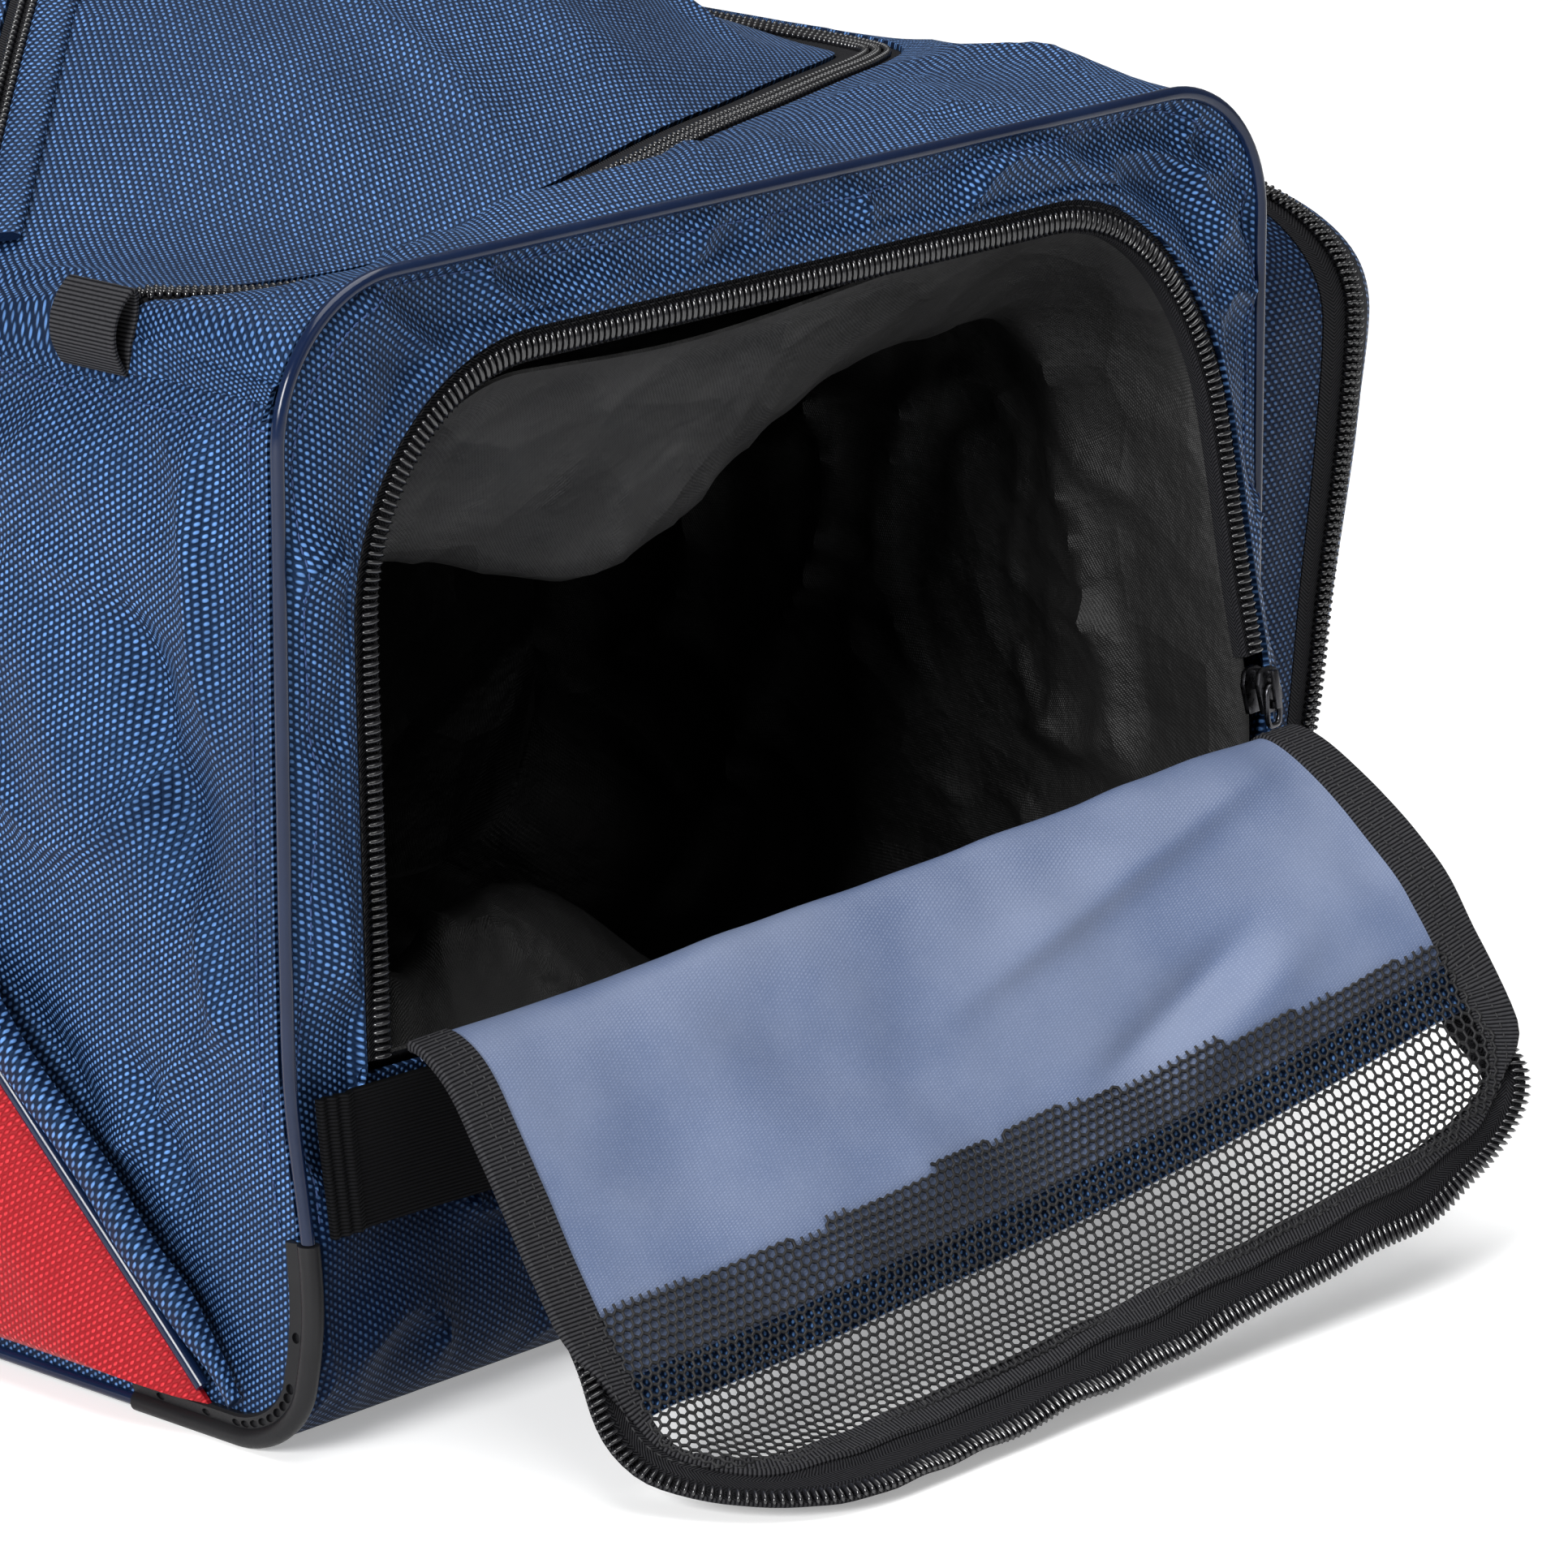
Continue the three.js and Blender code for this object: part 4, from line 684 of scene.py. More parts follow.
def wovenCloth(name, deep, lit, sheen):
    # dusk marks cloth that lies in the shade of the door or the pocket
    material, tree, shader = openMaterial(name, **{"Specular Tint": (*sheen, 1)})
    weave = weaveOf(tree, clothWeave["across"], clothWeave["along"])
    broad = speckle(tree, objectPlace(tree), 14.0, 2.0)
    dusk = marked(tree, "dusk")
    color = tint(tree, weave["Grain"], deep, lit)
    color = tint(tree, ramp(tree, broad, 0.3, 0.7, 0.0, 0.35), color, deep)
    color = tint(tree, calc(tree, "MULTIPLY", dusk, clothWeave["dusk"]), color, deep)
    shine = ramp(tree, dusk, 0.0, 1.0, clothWeave["shine"], 0.12)
    tree.links.new(shine, shader.inputs["Specular IOR Level"])
    rough = ramp(tree, weave["Grain"], 0.0, 1.0, 0.6, 0.36)
    feed(tree, shader, color, rough, weave["Height"], clothWeave["relief"], clothWeave["height"])
    return material


def ribbedStrap(name, deep, lit, pitch, column, slant=0.0):
    material, tree, shader = openMaterial(name, **{"Specular IOR Level": 0.06})
    rib = addNode(tree, "ShaderNodeGroup", {
        "Vector": clothPlace(tree), "Pitch": pitch, "Slant": slant, "Column": column},
        node_tree=ribs).outputs
    color = tint(tree, ramp(tree, rib["Rib"], 0.2, 1.0), deep, lit)
    rough = ramp(tree, rib["Rib"], 0.0, 1.0, 0.85, 0.6)
    feed(tree, shader, color, rough, rib["Height"], 0.7, 0.0004)
    return material


def mouldedPlastic(name, color, worn, grain, rough, metal=0.0, shine=0.3):
    material, tree, shader = openMaterial(name, **{"Metallic": metal, "Specular IOR Level": shine})
    speck = speckle(tree, objectPlace(tree), grain, 2.0)
    broad = speckle(tree, objectPlace(tree), 30.0, 3.0)
    color = tint(tree, ramp(tree, broad, 0.35, 0.75), color, worn)
    feed(tree, shader, color, ramp(tree, speck, 0.3, 0.7, *rough), speck, 0.12, 0.0002)
    return material


def liningCloth(name, deep, lit):
    # thin taffeta: fine threads, crushed facets, and soft marks that change its gloss; its colour is
    # painted light where the mesh's near value is high and painted shade where it is low
    material, tree, shader = openMaterial(name, **{"Specular IOR Level": 0.42})
    weave = weaveOf(tree, 0.0007, 0.0005)
    crush = speckle(tree, objectPlace(tree), 60.0, 4.0, 0.6)
    facets = addNode(tree, "ShaderNodeTexVoronoi", {"Vector": objectPlace(tree), "Scale": 26.0})
    mixed = calc(tree, "MULTIPLY", marked(tree, "near"), ramp(tree, crush, 0.3, 0.7, 0.65, 1.0))
    height = calc(tree, "MULTIPLY_ADD", facets.outputs["Distance"], 2.6, crush)
    height = calc(tree, "MULTIPLY_ADD", weave["Height"], 0.06, height)
    color, rough = tint(tree, mixed, deep, lit), ramp(tree, crush, 0.3, 0.7, 0.6, 0.45)
    feed(tree, shader, color, rough, height, 0.6, 0.0034)
    return material


def coatedCloth(name, deep, lit, thread):
    # smooth coat over a fine weave, with light streaks where it has been folded
    material, tree, shader = openMaterial(name, **{"Specular IOR Level": 0.45})
    weave = weaveOf(tree, 0.0012, 0.0008)
    streak = speckle(tree, objectPlace(tree), 20.0, 4.0, 0.55)
    color = tint(tree, ramp(tree, streak, 0.35, 0.7), deep, lit)
    color = tint(tree, ramp(tree, weave["Grain"], 0.0, 1.0, 0.0, 0.4), color, lit)
    color = tint(tree, ramp(tree, weave["Grain"], 0.3, 1.0, 0.0, 0.45), color, thread)
    height = calc(tree, "MULTIPLY_ADD", weave["Height"], 0.8, streak)
    feed(tree, shader, color, ramp(tree, streak, 0.3, 0.7, 0.42, 0.55), height, 0.2, 0.0006)
    return material


navyWeave = wovenCloth("navyWeave", (0.001, 0.003, 0.012), (0.110, 0.235, 0.510), (0.17, 0.36, 0.75))
redWeave = wovenCloth("redWeave", (0.20, 0.004, 0.008), (0.56, 0.03, 0.04), (0.8, 0.25, 0.25))
blackLining = liningCloth("blackLining", (0.002, 0.002, 0.002), (0.012, 0.0118, 0.0118))
coatedBlue = coatedCloth("coatedBlue", (0.088, 0.120, 0.210), (0.116, 0.148, 0.236), (0.20, 0.24, 0.34))
blackWebbing = ribbedStrap(
    "blackWebbing", (0.0008, 0.0008, 0.0008), (0.005, 0.005, 0.006), pitch=0.0010, column=0.002)
blackGrosgrain = ribbedStrap(
    "blackGrosgrain", (0.004, 0.004, 0.005), (0.034, 0.034, 0.037), pitch=0.0012, column=0.004)
zipTape = ribbedStrap(
    "zipTape", (0.003, 0.003, 0.004), (0.020, 0.020, 0.022), pitch=0.0011, column=0.0035, slant=1.0)
zipCoil = mouldedPlastic(
    "zipCoil", (0.006, 0.006, 0.007), (0.010, 0.010, 0.012), 500.0, rough=(0.16, 0.24), shine=0.7)
navyPiping = mouldedPlastic(
    "navyPiping", (0.003, 0.008, 0.028), (0.004, 0.011, 0.036), 300.0, rough=(0.16, 0.22))
blackNet = mouldedPlastic(
    "blackNet", (0.006, 0.006, 0.007), (0.012, 0.012, 0.013), 800.0, rough=(0.5, 0.65))
guardRubber = mouldedPlastic(
    "guardRubber", (0.004, 0.004, 0.005), (0.008, 0.008, 0.009), 1500.0, rough=(0.38, 0.5), shine=0.22)
sliderMetal = mouldedPlastic(
    "sliderMetal", (0.05, 0.05, 0.055), (0.09, 0.09, 0.10), 700.0, rough=(0.24, 0.36), metal=1.0)
blackThread = mouldedPlastic(
    "blackThread", (0.012, 0.012, 0.013), (0.02, 0.02, 0.022), 1500.0, rough=(0.55, 0.7))
navyThread = mouldedPlastic(
    "navyThread", (0.016, 0.034, 0.10), (0.024, 0.05, 0.14), 1500.0, rough=(0.5, 0.65))
hubPlastic = mouldedPlastic(
    "hubPlastic", (0.055, 0.058, 0.065), (0.075, 0.078, 0.085), 700.0, rough=(0.4, 0.55))
axleSteel = mouldedPlastic(
    "axleSteel", (0.42, 0.43, 0.44), (0.5, 0.5, 0.51), 600.0, rough=(0.25, 0.38), metal=1.0)
print("materials made")


# Body panels
seamThread = {
    "pitch": 3.6, "length": 2.7, "girth": 0.34, "offset": 6.5, "proud": 0.2, "material": navyThread,
    "slot": "navy_weave",
}
pipingForm = {"radius": 2.0, "sides": 14, "floor": 3.0, "guardTop": 64, "guardFoot": 62}
endPanelForm = {
    "rows": 36, "underPiping": 1.3, "fold": (5.6, 62, 1), "crumple": (2.2, 24, 2),
    "crease": (5.0, 46, 31, 0.35), "cornerCrease": (6.5, 40, 3, 0.4), "pucker": 0.6, "puckerPitch": 27,
    "lap": 4.6, "lapRise": 1.9, "flank": 5.0, "shade": (66, 96),
}
endPanelSteps = {"side": 60, "arc": 24, "across": 84, "foot": 3}


def makeEndPanel():
    form = endPanelForm
    outer = wallLoop(body["inset"] - form["underPiping"], **endPanelSteps)
    rim = mouthLoop(form["lap"], mouth["hinge"] - 0.4, **endPanelSteps)
    share = np.linspace(0, 1, form["rows"])[:, None]
    u = outer[0] + (rim[0] - outer[0]) * share
    v = outer[1] + (rim[1] - outer[1]) * share
    grid = frontPoint(u, v)
    width = np.hypot(rim[0] - outer[0], rim[1] - outer[1])
    fromRim, fromEdge = width * (1 - share), width * share
    free = smoothStep(0, 16, fromRim) * smoothStep(0, 9, fromEdge) * smoothStep(2, 26, grid[..., 2])
    flat = grid * (1, 0, 1)
    turn = facing(grid, True, (0, -1, 0))
    push = free * (waves(flat, form["fold"]) + waves(flat, form["crumple"]))
    corner = np.exp(-(((u - 165) / 45) ** 2 + ((grid[..., 2] - 290) / 38) ** 2))
    push += corner * free * ridges(flat, form["cornerCrease"])
    push += free * ridges(flat * (1, 1, 0.8), form["crease"])
    beside = smoothStep(-150, -172, u) * smoothStep(100, 140, grid[..., 2])
    push += form["flank"] * np.sin(math.pi * share) * beside
    # the zip's seam: small puckers, and the cloth lapped over the tape
    ring = np.concatenate([[0], np.cumsum(np.hypot(np.diff(rim[0]), np.diff(rim[1])))])
    wave = np.sin(2 * math.pi * ring / form["puckerPitch"] + 2.5 * np.sin(ring / 41))
    wave = wave * (0.6 + np.sin(ring / 67))
    zipped = rim[3] > -0.5
    push += form["pucker"] * wave * smoothStep(1, 9, fromRim) * np.exp(-fromRim / 14) * zipped
    push += form["lapRise"] * smoothStep(9, 5, fromRim) * zipped
    grid = grid + gridNormals(grid, True) * push[..., None] * turn
    lower = 1 - smoothStep(*form["shade"], grid[..., 2])
    uv = np.stack([u, v], axis=-1) * mm
    piece = sheetPiece(
        "endPanel", grid, -body["cloth"] * turn, [navyWeave], uv, loop=True, values={"dusk": lower})
    standIn(piece, ["end_panel"])
    out = gridNormals(grid, True) * turn
    seamRow("endPanelStitches", grid, out, np.broadcast_to(fromEdge, grid.shape[:2]), seamThread["offset"])


def seamRow(name, grid, out, distance, offset):
    # stitches at one distance from a seam, none behind the corner guards
    place, up = lineAt(grid, out, distance, offset)
    sewn = place[:, 2] > pipingForm["guardTop"]
    stitchesAlong(name, place[sewn] + up[sewn] * seamThread["proud"], up[sewn], seamThread)


def lineAt(grid, up, distance, offset):
    # the line, one point in each column, where the distance down the column reaches an offset
    rows, columns = np.arange(len(grid)), np.arange(grid.shape[1])
    at = np.array([np.interp(offset, distance[:, k], rows) for k in columns])
    low = np.minimum(at.astype(int), len(grid) - 2)
    share = (at - low)[:, None]
    return [part[low, columns] * (1 - share) + part[low + 1, columns] * share for part in (grid, up)]


def facing(grid, loop, way):
    # 1 where the grid's own normals look the given way, -1 where they look against it
    return 1.0 if np.mean(gridNormals(grid, loop) @ np.asarray(way, float)) > 0 else -1.0


def cornerY(z, inset):
    radius = body["floorRadius"]
    lean = np.clip((radius - z) / (radius - 3 - inset), 0, 1)
    return radius - (radius - inset) * np.sqrt(1 - lean**2)


sideForm = {
    "rows": 113, "columns": 221, "inset": 3.8, "foot": 3.9, "fold": (4.6, 58, 4), "crumple": (1.5, 25, 6),
    "crease": (3.4, 62, 8, 0.35),
}
# folds of the left side by y and z: valley, bulge, the edge's ridge and a dip by the red panel
sideFolds = {
    "start": [(58, 225), (92, 222), (27, 205), (112, 108), (33, 152), (23, 121), (120, 262), (60, 98)],
    "end": [(40, 158), (76, 158), (29, 285), (42, 32), (23, 121), (3, 133), (64, 268), (43, 64)],
    "before": [12, 30, 8, 15, 6, 5, 22, 7],
    "after": [20, 22, 8, 15, 9, 6, 18, 10],
    "depth": [-14, 7, 7, -9, 6, 5, 5, -7],
}


def makeSides():
    form = sideForm
    z = np.linspace(form["foot"], body["seam"] + 1.0, form["rows"])[:, None]
    share = np.linspace(0, 1, form["columns"])[None, :] ** 1.6
    start = cornerY(z, form["inset"]) - lookUp(frontRows, "z", z, "edge")
    y = start + (body["length"] - cornerY(z, form["inset"]) - start) * share
    z = np.broadcast_to(z, y.shape)
    for name, node, side in (("sideLeft", "side_left", -1), ("sideRight", "side_right", 1)):
        if side > 0:
            y, z, start = y[::2, ::2], z[::2, ::2], start[::2]
        x = sideX(y, z)
        flat = np.stack([y * 0, y, z], axis=-1)
        near = smoothStep(4, 28, np.minimum(y - start, body["length"] - y)) * smoothStep(8, 28, z)
        free = near * smoothStep(0, 18, body["seam"] - z)
        push = free * (waves(flat * (1, 1, 0.55), form["fold"], side) + waves(flat, form["crumple"], side)
                       + ridges(flat * (1, 1, 0.7), form["crease"], side))
        if side < 0:
            push += free * foldAlong(y, z, sideFolds)
        grid = np.stack([side * (x + push), y, z], axis=-1)
        uv = np.stack([y, z], axis=-1) * mm
        turn = facing(grid, False, (side, 0, 0))
        piece = sheetPiece(name, grid, -body["cloth"] * turn, [navyWeave], uv)
        standIn(piece, [node])
        out = gridNormals(grid) * turn
        turned = grid.transpose(1, 0, 2), out.transpose(1, 0, 2)
        seamRow(f"{name}FrontStitches", *turned, (y - start).T, seamThread["offset"])
        seamRow(f"{name}TopStitches", grid, out, z, body["seam"] - seamThread["offset"])


farEndForm = {"rows": 40, "fold": (2.2, 60, 9), "crumple": (0.7, 25, 10)}


def makeFarEnd():
    outer = wallLoop(body["inset"], side=30, arc=14, across=36, foot=3)
    middle = upFromSeam(body["height"] / 2)
    share = np.linspace(0, 0.985, farEndForm["rows"])[:, None]
    u, v = outer[0] * (1 - share), outer[1] + (middle - outer[1]) * share
    grid = farPoint(u, v)
    free = smoothStep(0, 0.2, share) * smoothStep(110, 150, grid[..., 2])
    turn = facing(grid, True, (0, 1, 0))
    flat = grid * (1, 0, 1)
    push = free * (waves(flat, farEndForm["fold"]) + waves(flat, farEndForm["crumple"]))
    grid = grid + gridNormals(grid, True) * push[..., None] * turn
    uv = np.stack([u, v], axis=-1) * mm
    piece = sheetPiece(
        "farEndPanel", grid, -body["cloth"] * turn, [navyWeave], uv, loop=True, closeEnd=True)
    standIn(piece, ["far_end_panel"])


# Lid, its zip and the strip between the zip and the seams
runRows = {"zipY": [185, 220, 400], "seamY": [90, 190, 400], "swell": [6, 5, 5]}
lidDetail = {
    "steps": 130, "runSteps": 60, "lidRows": 110, "fold": (5.0, 70, 13), "crumple": (1.6, 30, 14),
    "crease": (3.0, 60, 15, 0.3), "gap": 0.4, "lap": 4.0, "lapRise": 1.7, "turned": (-2.4, 0, -4.0),
}
rimForm = {"rows": 14, "fold": (3.4, 50, 11), "crumple": (1.8, 23, 12), "crease": (2.6, 48, 32, 0.45)}


def lidLine():
    # half of the zip's line: the end, then the run to the bag's middle, with the seam beside it
    front = np.linspace(0, 12, lidDetail["steps"])
    at = {key: hermite(topRows["step"], column, front) for key, column in topRows.items()}
    run = np.linspace(0, 3, lidDetail["runSteps"])[1:]
    knots = [0, 1, 2, 3]
    zipY = hermite(knots, [topRows["zipY"][-1], *runRows["zipY"]], run)
    seamY = hermite(knots, [body["inset"], *runRows["seamY"]], run)
    swell = hermite(knots, [topRows["swell"][-1], *runRows["swell"]], run)
    still = np.ones(len(run))
    line = np.stack([np.r_[at["zipX"], still * at["zipX"][-1]], np.r_[at["zipY"], zipY],
                     np.r_[at["zipZ"] - at["sink"], still * at["zipZ"][-1]]], axis=-1)
    foot = body["seam"] + 0.8
    seam = np.stack([np.r_[at["pipeX"], still * archX(body["seam"])],
                     np.r_[np.full(len(front), body["inset"]), seamY],
                     np.r_[np.maximum(archZ(at["pipeX"]), foot), still * foot]], axis=-1)
    half = np.r_[at["half"], still * at["half"][-1]]
    return line, seam, half, np.r_[at["swell"], swell]


def wholeRound(points):
    back = points[-2::-1].copy()
    if points.ndim == 2:
        back[:, 1] = body["length"] - back[:, 1]
    return np.concatenate([points, back])


zipLine, seamLine, zipHalf, rimSwell = [wholeRound(part) for part in lidLine()]
zipAhead = unit(np.gradient(zipLine, axis=0) * (1, 1, 0))
zipOut = np.stack([zipAhead[:, 1], -zipAhead[:, 0], zipAhead[:, 2] * 0], axis=-1)
zipUp = np.tile([0.0, 0.0, 1.0], (len(zipLine), 1))


def makeTopRim():
    lapped = smoothStep(-110, -60, zipLine[:, 0])
    inner = zipLine + zipOut * (zipHalf - lidDetail["lap"] * lapped)[:, None]
    inner[:, 2] += lidDetail["lapRise"] * lapped
    chord = inner - seamLine
    out = unit(np.cross(np.gradient(inner, axis=0), chord))
    out *= np.where(out[:, 2:] < 0, -1, 1)
    share = np.linspace(0, 1, rimForm["rows"])[:, None, None]
    grid = seamLine + chord * share + out * rimSwell[:, None] * np.sin(math.pi * share**1.25)
    free = np.sin(math.pi * share[..., 0]) * smoothStep(6, 40, np.linalg.norm(chord, axis=-1))
    soft = waves(grid, rimForm["fold"]) + waves(grid, rimForm["crumple"])
    push = free * (soft + ridges(grid, rimForm["crease"]))
    grid = grid + out * push[..., None]
    # beside the bag the edge is turned in under the seam
    beside = smoothStep(body["seam"] + 7, body["seam"] + 2, seamLine[:, 2:])
    inward = np.stack([-np.sign(seamLine[:, 0]), zipHalf, zipHalf * 0 + 1], axis=-1)
    turn = beside * lidDetail["turned"] * inward
    grid = np.concatenate([(seamLine + turn - (0, 0, 0.2))[None], grid])
    share = np.concatenate([[[[-0.05]]], share])
    out = np.broadcast_to(out, grid.shape)
    length = np.cumsum(np.r_[0, np.linalg.norm(np.diff(inner, axis=0), axis=1)])
    down = -share[..., 0] * np.linalg.norm(chord, axis=-1)
    uv = np.stack(np.broadcast_arrays(down, length), axis=-1) * mm
    piece = sheetPiece("topRim", grid, body["cloth"], [navyWeave], uv, toward=-out)
    standIn(piece, ["top_rim"])


def makeLid():
    form = lidDetail
    edge = (zipLine - zipOut * (zipHalf + form["gap"])[:, None])[:form["steps"]]
    share = 0.5 - 0.5 * np.cos(math.pi * np.linspace(0, 1, form["lidRows"]))[:, None]
    x = np.broadcast_to(edge[:, 0], (form["lidRows"], form["steps"]))
    y = edge[:, 1] + (body["length"] - 2 * edge[:, 1]) * share
    grid = lidPoint(x, y)
    inside = np.minimum(y - edge[:, 1], body["length"] - edge[:, 1] - y)
    grid[..., 2] -= (grid[0, :, 2] - edge[:, 2] - 0.6) * (1 - smoothStep(0, 70, inside))
    free = smoothStep(0, 40, inside) * smoothStep(0, 30, 198 + x)
    slack = np.exp(-((inside - 45) / 45) ** 2)
    flat = grid * (1, 1, 0)
    push = free * (waves(flat * (1, 0.6, 1), form["fold"]) + waves(flat, form["crumple"]))
    push += free * (0.35 + slack) * ridges(flat * (1, 0.5, 1), form["crease"])
    grid[..., 2] += push
    grid = np.concatenate([grid[:, :1] + form["turned"], grid], axis=1)
    x, y = np.concatenate([x[:, :1] - 3.6, x], axis=1), np.concatenate([y[:, :1], y], axis=1)
    uv = np.stack([-y, x], axis=-1) * mm
    piece = sheetPiece("lidPanel", grid, -body["cloth"] * facing(grid, False, (0, 0, 1)), [navyWeave], uv)
    standIn(piece, ["lid"])


lidCoil = {
    "pitch": 2.45, "reach": 2.7, "girth": 0.95, "rise": 1.6, "apart": 1.9, "proud": 0.8, "tree": coilTree,
}


def closedTeeth(name, place, across, up):
    # both halves of a closed zip, their teeth between each other
    for half, side, start in (("Inner", -1, 0.25), ("Outer", 1, 0.75)):
        line = place + across * side * lidCoil["apart"] + up * lidCoil["proud"]
        teethAlong(f"{name}{half}", line, across * side, up, {**lidCoil, "start": start})


def makeLidZip():
    keep = slice(12, len(zipLine) - 12)
    place, out, up, half = zipLine[keep], zipOut[keep], zipUp[keep], zipHalf[keep]
    section = [(-1, -1.3), (1, -1.3), (1, -0.5), (0.5, 0), (-0.5, 0), (-1, -0.5)]
    rings = carried(place, out * half[:, None], up, section)
    tape = stripPiece("lidZipTape", rings, [zipTape], uvAcross=[-12, 12, 12, 6, -6, -12])
    standIn(tape, ["lid_zip"])
    closedTeeth("lidZipTeeth", place, out, up)


lidPocketForm = {
    "start": 145, "slant": 0.78, "left": -184, "right": -22, "rise": 4, "lift": 4, "fold": (1.4, 50, 16),
    "columns": 60, "rows": 110, "turnSteps": 14, "zipAt": 7, "reach": 3.2,
}


def makeLidPocket():
    form = lidPocketForm
    x = np.linspace(form["left"], form["right"], form["columns"])[None, :]
    begin = form["start"] + (x - form["left"]) * form["slant"]
    share = 0.5 - 0.5 * np.cos(math.pi * np.linspace(0, 1, form["rows"]))[:, None]
    y = begin + (body["length"] - 2 * begin) * share
    x = np.broadcast_to(x, y.shape)
    lift = form["lift"] + form["rise"] * np.sin(math.pi * share)
    grid = lidPoint(x, y, lift + waves(np.stack([x, y, x * 0], axis=-1), form["fold"]))
    uv = np.stack([-y, x], axis=-1) * mm
    piece = sheetPiece("lidPocket", grid, -body["cloth"] * facing(grid, False, (0, 0, 1)), [navyWeave], uv)
    standIn(piece, ["lid_pocket"])
    edgeU = np.r_[x[0], np.full(60, form["right"]), x[0][::-1]]
    edgeV = np.r_[y[0], np.linspace(y[0, -1], y[-1, -1], 62)[1:-1], y[-1][::-1]]
    slant = unit(np.array([[form["slant"], -1.0]]))[0]
    outU, outV = np.ones_like(edgeU), np.zeros_like(edgeV)
    count = len(x[0])
    outU[:count], outV[:count] = slant
    outU[-count:], outV[-count:] = slant[0], -slant[1]
    # the way out turns smoothly at the two corners
    for k, t in enumerate(np.linspace(0, 1, form["turnSteps"])):
        lean = unit(np.array([[slant[0] * (1 - t) + t, slant[1] * (1 - t)]]))[0]
        near = count - form["turnSteps"] + k
        far = len(outU) - 1 - near
        outU[near], outV[near] = lean
        outU[far], outV[far] = lean[0], -lean[1]
    stations = np.stack([edgeU, edgeV, outU, outV])
    rings = laidOn(lidPoint, stations, [(1.2, 1.6), (13, 1.6), (13, 2.4), (9, 3.0), (5, 3.0), (1.2, 2.8)])
    tape = stripPiece("lidPocketTape", rings, [zipTape], uvAcross=[0, 12, 12, 8, 4, 0])
    standIn(tape, ["lid_pocket_zip"])
    section = [(10.5, 2.6), (19, 0.6), (20.5, 1.0), (20.5, 2.0), (19, 3.4), (14, 4.6), (11, 5.2), (10, 4.4)]
    lip = stripPiece("lidPocketLip", laidOn(lidPoint, stations, section), [navyWeave], sharp=60)
    standIn(lip, [])
    at = form["zipAt"]
    place, across, up = framesOn(lidPoint, edgeU + outU * at, edgeV + outV * at, outU, outV)
    teethAlong("lidPocketTeeth", place + up * form["lift"], across, up, {**lidCoil, "reach": form["reach"]})


print("panel functions ready")
makeEndPanel()
makeSides()
makeFarEnd()
makeTopRim()
makeLid()
makeLidZip()
makeLidPocket()
print("body panels, lid and lid zips made")


# Piping and corner guards
def archOf(loop, steps):
    # a loop without its lower side
    return loop[:, :2 * steps["side"] + 2 * steps["arc"] + steps["across"] + 1]


def makePiping():
    form = pipingForm
    steps = {"side": 30, "arc": 18, "across": 40}
    loop = roundedLoop(
        -halfWidth, halfWidth, form["guardTop"], body["height"], 0.4, body["topRadius"], **steps)
    u, v, outU, outV = archOf(loop, steps)
    across = np.stack([outU, outU * 0, outV], axis=-1)
    up = np.tile([0.0, -1.0, 0.0], (len(u), 1))
    section = roundSection(form["radius"], form["sides"])
    ends = (("frontPiping", "front_piping", -lookUp(frontRows, "z", v, "edge")),
            ("backPiping", "back_piping", np.full(len(u), body["length"])))
    for name, node, y in ends:
        rings = carried(np.stack([u, y, v], axis=-1), across, up, section)
        standIn(stripPiece(name, rings, [navyPiping], sharp=60), [node])
    y = np.linspace(form["guardFoot"] + 0.4, body["length"] - form["guardFoot"] - 0.4, 60)
    right, top = np.tile([1.0, 0, 0], (len(y), 1)), np.tile([0, 0, 1.0], (len(y), 1))
    for hand, side in (("Left", -1), ("Right", 1)):
        place = np.stack([np.full(len(y), side * halfWidth), y, np.full(len(y), form["floor"])], axis=-1)
        piece = stripPiece(f"basePiping{hand}", carried(place, right, top, section), [navyPiping], sharp=60)
        standIn(piece, [f"base_piping_{hand.lower()}"])


guardForm = {
    "radius": 3.1, "flange": 7.0, "proud": 2.6, "thick": 2.4, "holes": 12, "holeLong": 3.2, "holeWide": 2.2,
    "holeDeep": 1.6, "holeOut": 4, "holeSides": 12, "holeEdge": 2.8,
}


def guardLine():
    # down the end, round the floor corner and along the floor: y, z and the way out
    radius, floor = body["floorRadius"], pipingForm["floor"]
    down = np.linspace(pipingForm["guardTop"], radius, 12)[:-1]
    angle = np.linspace(math.pi / 2, 0, 34)
    along = np.linspace(radius, pipingForm["guardFoot"], 12)[1:]
    y = np.r_[down * 0, radius - radius * np.sin(angle), along]
    z = np.r_[down, radius - (radius - floor) * np.cos(angle), along * 0 + floor]
    lean = np.r_[down * 0 + math.pi / 2, angle, along * 0]
    return y, z, lean


